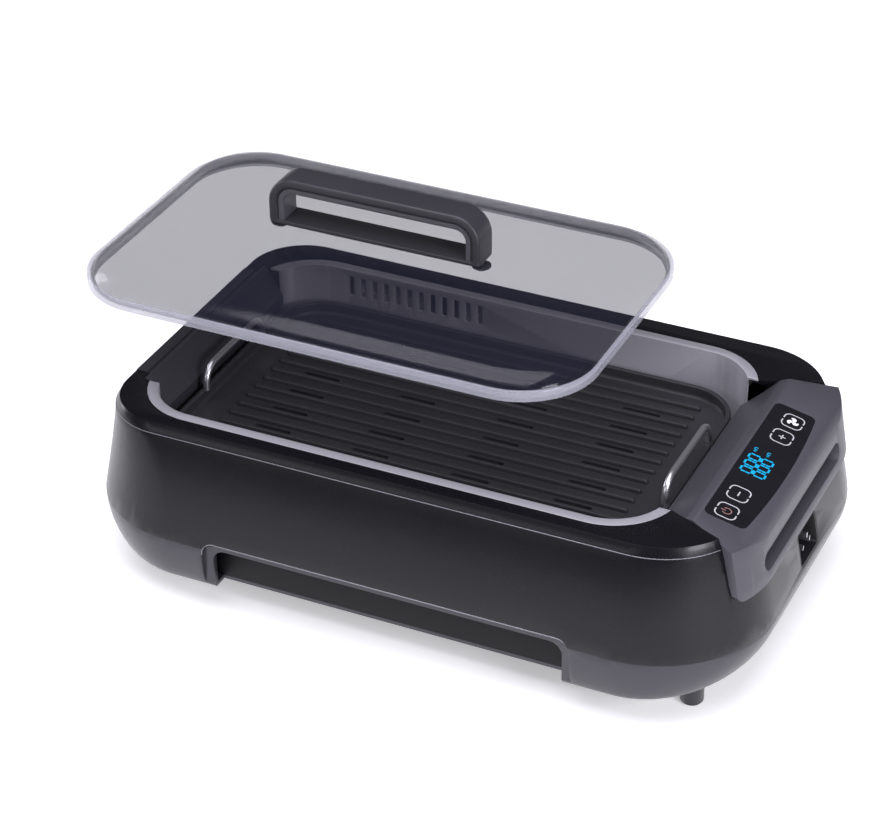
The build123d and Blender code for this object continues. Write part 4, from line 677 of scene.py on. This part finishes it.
def rounded_path(corners, bend):
    """Points of a line whose corners are arcs: two straights meet in an arc of the bend's radius."""
    corners = np.asarray(corners, float)
    made = [corners[:1]]
    for i in range(1, len(corners) - 1):
        before = corners[i - 1] - corners[i]
        after = corners[i + 1] - corners[i]
        before /= np.linalg.norm(before)
        after /= np.linalg.norm(after)
        half = np.arccos(np.clip(before @ after, -1, 1)) / 2
        middle = corners[i] + (before + after) / np.linalg.norm(before + after) * bend / np.sin(half)
        start = corners[i] + before * bend / np.tan(half) - middle
        end = corners[i] + after * bend / np.tan(half) - middle
        turn = np.pi - 2 * half
        share = np.linspace(0, 1, ARC_STEPS + 1)[:, None]
        swept = np.sin((1 - share) * turn) * start + np.sin(share * turn) * end
        made.append(middle + swept / np.sin(turn))
    made.append(corners[-1:])
    return np.concatenate(made)


def carried(path, outline, sideways):
    """A closed outline carried along a flat path: each point is the path plus outline[0] times the fixed
    sideways direction plus outline[1] times the path's own normal."""
    path = np.asarray(path, float)
    way = np.gradient(path, axis=0)
    way[0] = path[1] - path[0]
    way[-1] = path[-1] - path[-2]
    way /= np.linalg.norm(way, axis=1, keepdims=True)
    sideways = np.asarray(sideways, float)
    normal = np.cross(way, sideways)
    across, out = np.asarray(outline, float).T
    points = path[:, None] + across[None, :, None] * sideways + out[None, :, None] * normal[:, None]
    return shell_of(points, wrap_columns=True, close_first=True, close_last=True)


def rounded_outline(width, height, corner):
    """Closed outline of a rounded rectangle: each corner's centre plus its radius times (cos, sin)."""
    made = []
    for turn, (side, end) in enumerate(QUARTERS):
        cos, sin = arc(90 * turn, 90 * turn + 90, OUTLINE_STEPS)
        across = side * (width / 2 - corner) + corner * cos
        up = end * (height / 2 - corner) + corner * sin
        made.append(np.stack([across, up], -1))
    return np.concatenate(made)


def thread(path, radius, sideways, steps=THREAD_STEPS):
    """Round line: a circle, radius times (cos, sin), carried along a flat path."""
    cos, sin = arc(0, 360, steps)
    return carried(path, np.stack([radius * cos[:-1], radius * sin[:-1]], -1), sideways)


def seam_highlight_shells():
    """Pale lines that paint a highlight in the seam: one round each end of the body, and one over each arch.
    """
    low, high = box_mm("base_shell")
    middle = (low[0] + high[0]) / 2
    end = (high[0] - low[0]) / 2 - SEAM_HIGHLIGHT_RADIUS
    face = high[1] - SEAM_HIGHLIGHT_RADIUS
    seam, top = SEAM_HEIGHT, SEAM_HEIGHT + BASE_ARCH_RISE
    shells = []
    for side in (-1, 1):
        start, turn = middle + side * BASE_ARCH_HALF_LENGTH, middle + side * end
        corners = [(start, -face, seam), (turn, -face, seam), (turn, face, seam), (start, face, seam)]
        shells.append(thread(rounded_path(corners, SEAM_CORNER), SEAM_HIGHLIGHT_RADIUS, (0, 0, 1)))
        y, foot = side * (face - BASE_ARCH_HIGHLIGHT_INSET), seam - BASE_ARCH_RISE
        left, right = middle - BASE_ARCH_HALF_LENGTH, middle + BASE_ARCH_HALF_LENGTH
        corners = [(left, y, foot), (left, y, top), (right, y, top), (right, y, foot)]
        shells.append(thread(rounded_path(corners, BASE_ARCH_CORNER), SEAM_HIGHLIGHT_RADIUS, (0, 1, 0)))
    return shells


def shoulder_highlight_shells():
    """Pale lines that paint a highlight along the shoulder, from the middle of each long side round its
    corners;
    the right ones end at the panel."""
    low, high = box_mm("base_shell")
    middle = (low[0] + high[0]) / 2
    face, z = high[1] - BODY_TAPER, SHOULDER_HEIGHT
    left = (low[0] + BODY_TAPER, LEFT_SHOULDER_CORNER, 0.0)
    right = (high[0] - BODY_TAPER, SHOULDER_CORNER, PANEL_HALF_SPAN)
    shells = []
    for far, bend, stop in (left, right):
        for side in (-1, 1):
            path = rounded_path([(middle, side * face, z), (far, side * face, z), (far, 0, z)], bend)
            path = path[side * path[:, 1] >= stop]
            shells.append(thread(path, SHOULDER_HIGHLIGHT_RADIUS, (0, 0, 1)))
    return shells


def plan_of(node):
    """Length, depth, middle in plan, underside and top of a node, in millimetres."""
    low, high = box_mm(node)
    middle = ((low[0] + high[0]) / 2, (low[1] + high[1]) / 2)
    return high[0] - low[0], high[1] - low[1], middle, low[2], high[2]


def lid_rim_shell():
    """Clear bead round the lid: a closed outline of inset against height, carried round its rectangle."""
    length, depth, middle, bottom, top = plan_of("lid_rim")
    seat = bottom + LID_RIM_SEAT
    edge = LID_RIM_WIDTH - LID_REBATE
    wide = LID_RIM_WIDTH
    outline = ((0, bottom), (wide, bottom), (wide, seat), (edge, seat), (edge, top), (0, top))
    rows = [section(length, depth, LID_CORNER, z, inset, middle) for inset, z in outline]
    rings = rounded_rings(eased(rows, LID_RIM_EASES))
    return shell_of(rings, wrap_rows=True, wrap_columns=True)


def crown_curve(insets, heights):
    """The lid's rise: insets and heights, each a cubic through four points over the way along them."""
    insets, heights = np.asarray(insets, float), np.asarray(heights, float)
    runs = np.hypot(np.diff(insets), np.diff(heights))
    places = np.concatenate([[0], np.cumsum(runs)]) / runs.sum()
    share = np.linspace(0, 1, CROWN_STEPS + 1)
    return [np.polyval(np.polyfit(places, values, 3), share) for values in (insets, heights)]


def lid_glass_shell():
    """Domed glass: the crown's curve drawn in from the edge, and again a glass thickness further in."""
    length, depth, middle, bottom, _ = plan_of("lid_rim")
    edge = LID_RIM_WIDTH - LID_REBATE + LID_GLASS_GAP
    low = bottom + LID_RIM_SEAT
    insets, heights = crown_curve(CROWN_INSETS, CROWN_HEIGHTS)
    inner = list(zip(edge + LID_GLASS_THICKNESS + insets, low + heights))[::-1]
    outer = list(zip(edge + insets, low + LID_GLASS_THICKNESS + heights))
    outline = inner + [(edge, low)] + outer
    rows = [section(length, depth, LID_CORNER, z, inset, middle) for inset, z in outline]
    return shell_of(rounded_rings(rows), wrap_columns=True, close_first=True, close_last=True)


def hoop_path(node, thickness, corner):
    """Middle line of a handle hoop in X and Z: up, over and down, with rounded upper corners."""
    low, high = box_mm(node)
    inset = thickness / 2
    left, right, top = low[0] + inset, high[0] - inset, high[2] - inset
    middle = (low[1] + high[1]) / 2
    corners = [(left, middle, low[2]), (left, middle, top), (right, middle, top), (right, middle, low[2])]
    return rounded_path(corners, corner - inset)


def hoop_shell(node, thickness, corner, ease):
    """Handle hoop: a rounded rectangle as wide as the hoop is deep, carried along its middle line."""
    low, high = box_mm(node)
    outline = rounded_outline(high[1] - low[1], thickness, ease)
    return carried(hoop_path(node, thickness, corner), outline, (0, 1, 0))


def slab_shell(node, corner, ease):
    """Thin plate with rounded corners and eased edges, stacked as rings from its underside to its top."""
    length, depth, middle, bottom, top = plan_of(node)
    outline = ((ease, bottom), (0, bottom), (0, top), (ease * 2, top))
    rows = [section(length, depth, corner, z, inset, middle) for inset, z in outline]
    rings = rounded_rings(eased(rows, (0, ease, ease, 0)))
    return shell_of(rings, wrap_columns=True, close_first=True, close_last=True)


def plate_layout():
    """Length, depth, middle, floor and rim height of the grill plate."""
    length, depth, middle, _, rim = plan_of("grill_plate")
    return length, depth, middle, rim - PLATE_FLOOR_DROP, rim


def plate_shell():
    """Grill plate's body: underside, outer wall, rounded rim, inner wall with a soft foot, and floor."""
    length, depth, middle, floor, rim = plate_layout()
    bottom = floor - PLATE_THICKNESS
    foot, wall, inner = PLATE_UNDERSIDE_INSET, PLATE_RIM_WALL, PLATE_FLOOR_INSET
    outline = ((foot, bottom), (0, bottom), (0, rim), (wall, rim), (wall, floor), (inner, floor))
    rows = [section(length, depth, PLATE_CORNER, z, inset, middle) for inset, z in outline]
    rings = rounded_rings(eased(rows, PLATE_EASES, PLATE_EDGE_STEPS))
    return shell_of(rings, wrap_columns=True, close_first=True, close_last=True)


def rib_rows():
    """Places across the plate of its ribs, the distance from one to the next and half a rib's length."""
    length, depth, middle, _, _ = plate_layout()
    loss = 2 * (PLATE_RIM_WALL + RIB_MARGIN)
    pitch = (depth - loss) / (RIB_COUNT - 1)
    places = middle[1] + (np.arange(RIB_COUNT) - (RIB_COUNT - 1) / 2) * pitch
    return places, pitch, length / 2 - PLATE_RIM_WALL - RIB_END_MARGIN


def rib_shells():
    """Cooking ribs with half-round ends in plan: as an angle a goes up to a right angle, a rib rises as
    sin a while its sides and ends draw in as 1 - cos a, up to a flat top."""
    _, _, middle, floor, _ = plate_layout()
    places, _, half_length = rib_rows()
    angles = np.linspace(0, 1, RIB_STEPS + 1) * np.pi / 2
    drops, rises = 1 - np.cos(angles), np.sin(angles)
    halves = RIB_WIDTH / 2 * (1 - RIB_TAPER_SHARE * drops)
    lengths = half_length - drops * RIB_WIDTH / 2
    heights = floor - RIB_SINK + (RIB_HEIGHT + RIB_SINK) * rises
    shells = []
    for y in places:
        rows = [
            [along, across, across * RIB_ROUND_SHARE, z, middle[0], y]
            for along, across, z in zip(lengths, halves, heights)
        ]
        shells.append(shell_of(rounded_rings(rows), wrap_columns=True, close_last=True))
    return shells


def drain_cutters():
    """Slot prisms through the plate's floor in every other gap between the ribs."""
    _, _, middle, floor, _ = plate_layout()
    places, pitch, half = rib_rows()
    shells = []
    for y in places[:-1:2] + pitch / 2:
        for j in range(DRAIN_COLUMNS):
            x = middle[0] + (j - (DRAIN_COLUMNS - 1) / 2) * 2 * half / DRAIN_COLUMNS
            rows = [
                section(DRAIN_LENGTH, DRAIN_WIDTH, DRAIN_WIDTH / 2 - DRAIN_FLAT_END, z, 0, (x, y))
                for z in (floor - 3 * PLATE_THICKNESS, floor + PLATE_THICKNESS)
            ]
            rings = rounded_rings(rows)
            shells.append(shell_of(rings, wrap_columns=True, close_first=True, close_last=True))
    return shells


def cut_away(name, mesh, cutters):
    """The mesh with closed cutters taken out of it by an exact Boolean, as a new mesh."""
    scene = bpy.context.scene.collection
    whole = bpy.data.objects.new(name + "_whole", mesh)
    tool = bpy.data.objects.new(name + "_tool", raw_mesh(name + "_tool", joined(cutters)))
    scene.objects.link(whole)
    scene.objects.link(tool)
    cut = whole.modifiers.new("Cut", "BOOLEAN")
    cut.operation = "DIFFERENCE"
    cut.solver = "EXACT"
    cut.object = tool
    graph = bpy.context.evaluated_depsgraph_get()
    made = bpy.data.meshes.new_from_object(whole.evaluated_get(graph), depsgraph=graph)
    bpy.data.objects.remove(whole)
    bpy.data.objects.remove(tool)
    return made


def plate_wire_shell(node):
    """Bent wire handle: a circle carried along a line that rises, crosses and comes down again."""
    low, high = box_mm(node)
    x = (low[0] + high[0]) / 2
    near, far = low[1] + WIRE_RADIUS, high[1] - WIRE_RADIUS
    top = high[2] - WIRE_RADIUS
    path = rounded_path([(x, near, low[2]), (x, near, top), (x, far, top), (x, far, low[2])], WIRE_BEND)
    return thread(path, WIRE_RADIUS, (1, 0, 0), WIRE_STEPS)


def glass_plane():
    """Middle of the touch glass's top between its straight sides, down it, along it and its normal."""
    low, high = box_mm("touch_panel_glass")
    tilt = math.atan2(PANEL_FACE_DROP, PANEL_FACE_RUN)
    down = np.array([math.cos(tilt), 0, -math.sin(tilt)])
    along = np.array([0.0, 1.0, 0.0])
    normal = np.array([math.sin(tilt), 0, math.cos(tilt)])
    middle = (low + high) / 2 + normal * GLASS_THICKNESS / 2 - down * GLASS_BOW / 2
    return middle, down, along, normal


def ribbon(line, width):
    """Flat printed stroke: a line of (down, along) pairs on the glass, half its width to either side."""
    middle, down, along, normal = glass_plane()
    line = np.asarray(line, float)
    way = np.gradient(line, axis=0)
    way /= np.linalg.norm(way, axis=1, keepdims=True)
    side = np.stack([-way[:, 1], way[:, 0]], -1) * width / 2
    flat = np.stack([line - side, line + side], 1)
    lift = normal * bpy.context.scene.grill_sizes.mark_lift / MM
    points = middle + lift + flat[..., :1] * down + flat[..., 1:] * along
    return shell_of(points)


def arc_line(middle, radius, start, end):
    """Round stretch of a printed line about a middle, between two angles from the way down the slope."""
    cos, sin = arc(start, end, ARC_STEPS * 2)
    return np.stack([middle[0] + radius * cos, middle[1] + radius * sin], -1)


def bracket_lines(middle):
    """Two halves of a rounded square with a gap in the middle of the sides that run along the glass."""
    straight_down = MARK_HALF_DOWN - MARK_ROUND
    straight_along = MARK_HALF_ALONG - MARK_ROUND
    lines = []
    for side in (-1, 1):
        far = middle[1] + side * straight_along
        first = arc_line((middle[0] - straight_down, far), MARK_ROUND, 180, 180 - side * 90)
        second = arc_line((middle[0] + straight_down, far), MARK_ROUND, side * 90, 0)
        start = [(middle[0] - MARK_HALF_DOWN, middle[1] + side * MARK_GAP / 2)]
        end = [(middle[0] + MARK_HALF_DOWN, middle[1] + side * MARK_GAP / 2)]
        lines.append(np.concatenate([start, first, second, end]))
    return lines


def digit_lines(down, along):
    """The six lit strokes of a nought: its upper, lower and four side strokes, each a little short."""
    half = DIGIT_HEIGHT / 2
    short = DIGIT_STROKE / 2
    left, right = along, along + DIGIT_WIDTH
    top, middle, low = down - half, down, down + half
    ends = [((top, left + short), (top, right - short)), ((low, left + short), (low, right - short))]
    for place in (left, right):
        ends.append(((top + short, place), (middle - DIGIT_BREAK, place)))
        ends.append(((middle + DIGIT_BREAK, place), (low - short, place)))
    return [np.linspace(start, end, 3) for start, end in ends]


def frame_strokes(stroke):
    """Frames of the four marks, with the minus and plus signs."""
    strokes = [ribbon(line, stroke) for middle in MARK_PLACES.values() for line in bracket_lines(middle)]
    for name in ("minus", "plus"):
        x, y = MARK_PLACES[name]
        strokes.append(ribbon([(x, y - SIGN_ARM), (x, y), (x, y + SIGN_ARM)], stroke))
    x, y = MARK_PLACES["plus"]
    strokes.append(ribbon([(x - SIGN_ARM, y), (x, y), (x + SIGN_ARM, y)], stroke))
    return strokes


def power_strokes(stroke):
    """Open ring of the power mark and the short stem in its opening."""
    x, y = MARK_PLACES["power"]
    ring = arc_line((x, y), POWER_RADIUS, -POWER_TURN, POWER_TURN)
    stem = [(x + rise, y) for rise in POWER_STEM]
    return [ribbon(line, stroke * POWER_STROKE_SHARE) for line in (ring, stem)]


def fan_strokes():
    """Three blades of the fan mark: an arm out from the middle and a round tip."""
    x, y = MARK_PLACES["fan"]
    strokes = []
    for turn in FAN_TURNS:
        cos, sin = math.cos(math.radians(turn)), math.sin(math.radians(turn))
        middle = (x + FAN_TIP_REACH * cos, y + FAN_TIP_REACH * sin)
        tip = arc_line(middle, FAN_TIP_RADIUS, turn + FAN_TIP_START, turn + FAN_TIP_END)
        arm = [(x + reach * cos, y + reach * sin) for reach in FAN_ARM_REACHES]
        strokes += [ribbon(tip, FAN_TIP_STROKE), ribbon(arm, FAN_ARM_STROKE)]
    return strokes


def digit_strokes():
    """Two rows of lit digits, each with the ring and hook of its unit after it."""
    strokes = []
    unit = DIGIT_START + DIGIT_COUNT * DIGIT_PITCH + UNIT_GAP
    for down in DIGIT_ROWS:
        for i in range(DIGIT_COUNT):
            lines = digit_lines(down, DIGIT_START + i * DIGIT_PITCH)
            strokes += [ribbon(line, DIGIT_STROKE) for line in lines]
        ring = arc_line((down - UNIT_RING_RISE, unit), UNIT_RING_RADIUS, 0, UNIT_RING_END)
        place = (down - UNIT_HOOK_RISE, unit + UNIT_HOOK_SHIFT)
        hook = arc_line(place, UNIT_HOOK_RADIUS, UNIT_HOOK_START, UNIT_HOOK_END)
        strokes += [ribbon(ring, UNIT_RING_STROKE), ribbon(hook, UNIT_HOOK_STROKE)]
    return strokes


def finish_colours():
    """The colour settings of the scene."""
    return bpy.context.scene.grill_colours


class GRILL_OT_finishes(bpy.types.Operator):
    """Makes every material and dresses the nodes that keep their own shape."""

    bl_idname = "grill.finishes"
    bl_label = "Finishes"

    def execute(self, context):
        make_finishes(finish_colours())
        for name, node in frame["nodes"].items():
            for holder in node.material_slots:
                holder.material = finish_of(FINISH_INSTEAD.get(name, slot_of(name)))
        return {"FINISHED"}


class GRILL_OT_housings(bpy.types.Operator):
    """Softens the edges of the moulded housings."""

    bl_idname = "grill.housings"
    bl_label = "Housings"

    def execute(self, context):
        soften = context.scene.grill_sizes.edge_softness
        for node in MOULDED_NODES:
            softened_copy(node, "body", soften)
        return {"FINISHED"}


class GRILL_OT_painted_highlight_lines(bpy.types.Operator):
    """Lays the pale lines that paint highlights in the seam over the base and along the housing's shoulder.
    """

    bl_idname = "grill.edge_lines"
    bl_label = "Edge lines"

    def execute(self, context):
        # Thin pale rings that stand in for the highlights on the edges of the seam, arches and shoulder
        mesh = raw_mesh("edge_lines", joined(seam_highlight_shells() + shoulder_highlight_shells()))
        finish_piece("edge_lines", mesh, "body", "edge_light")
        return {"FINISHED"}


class GRILL_OT_touch_marks(bpy.types.Operator):
    """Prints the marks on the touch glass and lights its digits."""

    bl_idname = "grill.touch_marks"
    bl_label = "Touch marks"

    def execute(self, context):
        stroke = context.scene.grill_sizes.mark_stroke / MM
        pieces = (
            ("touch_marks", frame_strokes(stroke), "ink_grey"),
            ("power_mark", power_strokes(stroke), "ink_red"),
            ("fan_mark", fan_strokes(), "ink_white"),
            ("lit_digits", digit_strokes(), "digit_light"),
        )
        for name, strokes, slot in pieces:
            finish_piece(name, raw_mesh(name, joined(strokes)), "body", slot)
        return {"FINISHED"}


class GRILL_OT_plate(bpy.types.Operator):
    """Makes the grill plate with its ribs and drain slots, and its two wire handles."""

    bl_idname = "grill.plate"
    bl_label = "Grill plate"

    def execute(self, context):
        body = cut_away("plate", raw_mesh("plate_body", plate_shell()), drain_cutters())
        ribs = raw_mesh("plate_ribs", joined(rib_shells()))
        work = bmesh.new()
        work.from_mesh(body)
        work.from_mesh(ribs)
        mesh = bpy.data.meshes.new("cooking_plate")
        work.to_mesh(mesh)
        work.free()
        finish_piece("cooking_plate", mesh, "plate", "plate_coated", ("grill_plate",), PLATE_EDGE_ANGLE)
        for node in ("plate_handle_left", "plate_handle_right"):
            mesh = raw_mesh(node + "_wire", plate_wire_shell(node))
            finish_piece(node + "_wire", mesh, "plate", "wire_steel", (node,), ROUND_EDGE_ANGLE)
        return {"FINISHED"}


class GRILL_OT_lid(bpy.types.Operator):
    """Makes the domed glass lid, its clear rim and its handle."""

    bl_idname = "grill.lid"
    bl_label = "Lid"

    def execute(self, context):
        finish_piece("lid_dome", raw_mesh("lid_dome", lid_glass_shell()), "lid", "lid_clear", ("lid_glass",))
        corner = STRAP_CORNER - STRAP_THICKNESS
        strap = hoop_shell("handle_strap", STRAP_THICKNESS, STRAP_CORNER, STRAP_EASE)
        arch = hoop_shell("handle_arch", HANDLE_ARCH_THICKNESS, corner, HANDLE_ARCH_EASE)
        foot = slab_shell("handle_base", HANDLE_FOOT_CORNER, HANDLE_FOOT_EASE)
        pieces = (
            ("lid_bead", lid_rim_shell(), "rim_clear", "lid_rim"),
            ("strap_skin", strap, "handle_dark", "handle_strap"),
            ("arch_skin", arch, "handle_light", "handle_arch"),
            ("foot_skin", foot, "handle_dark", "handle_base"),
        )
        for name, shell, slot, node in pieces:
            finish_piece(name, raw_mesh(name, shell), "lid", slot, (node,), ROUND_EDGE_ANGLE)
        return {"FINISHED"}


def soft_light(name, place, size, power):
    """Area light that looks from its place at the point that all lamps share."""
    light = bpy.data.lights.new(name, "AREA")
    light.shape = "RECTANGLE"
    light.size, light.size_y = size
    light.energy = power
    light.color = COOL_LIGHT
    holder = bpy.data.objects.new(name, light)
    bpy.context.scene.collection.objects.link(holder)
    holder.location = place
    holder.rotation_euler = (Vector(LAMP_AIM) - Vector(place)).to_track_quat("-Z", "Y").to_euler()


class GRILL_OT_stage(bpy.types.Operator):
    """Lays the pale floor, hangs the soft lights and sets the camera where the photograph's was."""

    bl_idname = "grill.stage"
    bl_label = "Stage"

    def execute(self, context):
        self.lay_floor(context)
        self.hang_lights(context)
        self.set_camera(context)
        return {"FINISHED"}

    def lay_floor(self, context):
        """Square floor at the height that the feet stand on, lit a little from below as a light table is."""
        half = context.scene.grill_sizes.floor_size / 2 / MM
        ends = np.linspace(-half, half, 3)
        x, y = np.meshgrid(ends, ends)
        mesh = raw_mesh("floor", shell_of(np.stack([x, y, 0 * x], -1)))
        floor = bpy.data.objects.new("floor", mesh)
        context.scene.collection.objects.link(floor)
        finish = Finish("studio_floor", Roughness=0.6, Emission_Strength=FLOOR_GLOW)
        paper = finish.noise(3.0, 2.0)
        colour = tuple(finish_colours().floor)
        finish.drive("Base Color", finish.blend(paper, shade(colour, 0.99), colour))
        finish.drive("Emission Color", finish.blend(paper, shade(colour, 0.99), colour))
        mesh.materials.append(finish.material)

    def hang_lights(self, context):
        """A wide soft light above and softer ones low on the left, to the right and in front."""
        world = context.scene.world or bpy.data.worlds.new("studio")
        context.scene.world = world
        world.use_nodes = True
        air = world.node_tree.nodes["Background"].inputs
        air["Color"].default_value = (*COOL_LIGHT, 1.0)
        air["Strength"].default_value = AIR_GLOW
        for name, (place, size, power) in LAMPS.items():
            soft_light(name, place, size, power)
        context.scene.view_settings.view_transform = "Standard"

    def set_camera(self, context):
        """Long lens aimed past the object's middle, with the shift that the photograph's framing needs."""
        azimuth, elevation = math.radians(CAMERA_AZIMUTH), math.radians(CAMERA_ELEVATION)
        across = math.cos(elevation)
        back = Vector((math.sin(azimuth) * across, -math.cos(azimuth) * across, math.sin(elevation)))
        right = Vector((math.cos(azimuth), math.sin(azimuth), 0.0))
        low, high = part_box("outer_housing")
        aim = Vector(((low[0] + high[0]) / 2, 0.0, AIM_HEIGHT))
        data = bpy.data.cameras.new("photo_camera")
        data.sensor_fit = "HORIZONTAL"
        data.sensor_width = SENSOR_WIDTH
        data.lens = FOCAL_PIXELS / PHOTO_WIDTH * SENSOR_WIDTH
        data.shift_x = (PHOTO_WIDTH / 2 - AIM_PIXEL[0]) / PHOTO_WIDTH
        data.shift_y = (AIM_PIXEL[1] - PHOTO_HEIGHT / 2) / PHOTO_WIDTH
        camera = bpy.data.objects.new("photo_camera", data)
        context.scene.collection.objects.link(camera)
        turn = Matrix((right, back.cross(right), back)).transposed()
        camera.matrix_world = Matrix.Translation(aim + CAMERA_DISTANCE * back) @ turn.to_4x4()
        context.scene.camera = camera


class GRILL_PT_sidebar(bpy.types.Panel):
    """Lists the grill's sizes, colours and pieces in the 3D view's sidebar."""

    bl_idname = "GRILL_PT_sidebar"
    bl_label = "Smokeless grill"
    bl_space_type = "VIEW_3D"
    bl_region_type = "UI"
    bl_category = "Grill"

    def draw(self, context):
        for settings in (context.scene.grill_sizes, context.scene.grill_colours):
            for name in settings.bl_rna.properties.keys():
                if name not in ("rna_type", "name"):
                    self.layout.prop(settings, name)
        for piece in PIECE_OPERATORS:
            self.layout.operator(piece.bl_idname)


PIECE_OPERATORS = (
    GRILL_OT_finishes,
    GRILL_OT_housings,
    GRILL_OT_painted_highlight_lines,
    GRILL_OT_touch_marks,
    GRILL_OT_plate,
    GRILL_OT_lid,
    GRILL_OT_stage,
)
CLASSES = (GrillSizes, GrillColours, *PIECE_OPERATORS, GRILL_PT_sidebar)


def register():
    """Registers the classes and hangs the settings on the scene."""
    for kind in CLASSES:
        bpy.utils.register_class(kind)
    bpy.types.Scene.grill_sizes = PointerProperty(type=GrillSizes)
    bpy.types.Scene.grill_colours = PointerProperty(type=GrillColours)


def unregister():
    """Takes the settings and classes away again."""
    del bpy.types.Scene.grill_sizes
    del bpy.types.Scene.grill_colours
    for kind in reversed(CLASSES):
        bpy.utils.unregister_class(kind)


def main():
    """Makes the finishes, every piece and the stage."""
    register()
    bpy.ops.grill.finishes()
    bpy.ops.grill.housings()
    bpy.ops.grill.edge_lines()
    bpy.ops.grill.touch_marks()
    bpy.ops.grill.plate()
    bpy.ops.grill.lid()
    bpy.ops.grill.stage()


if __name__ == "__main__":
    main()
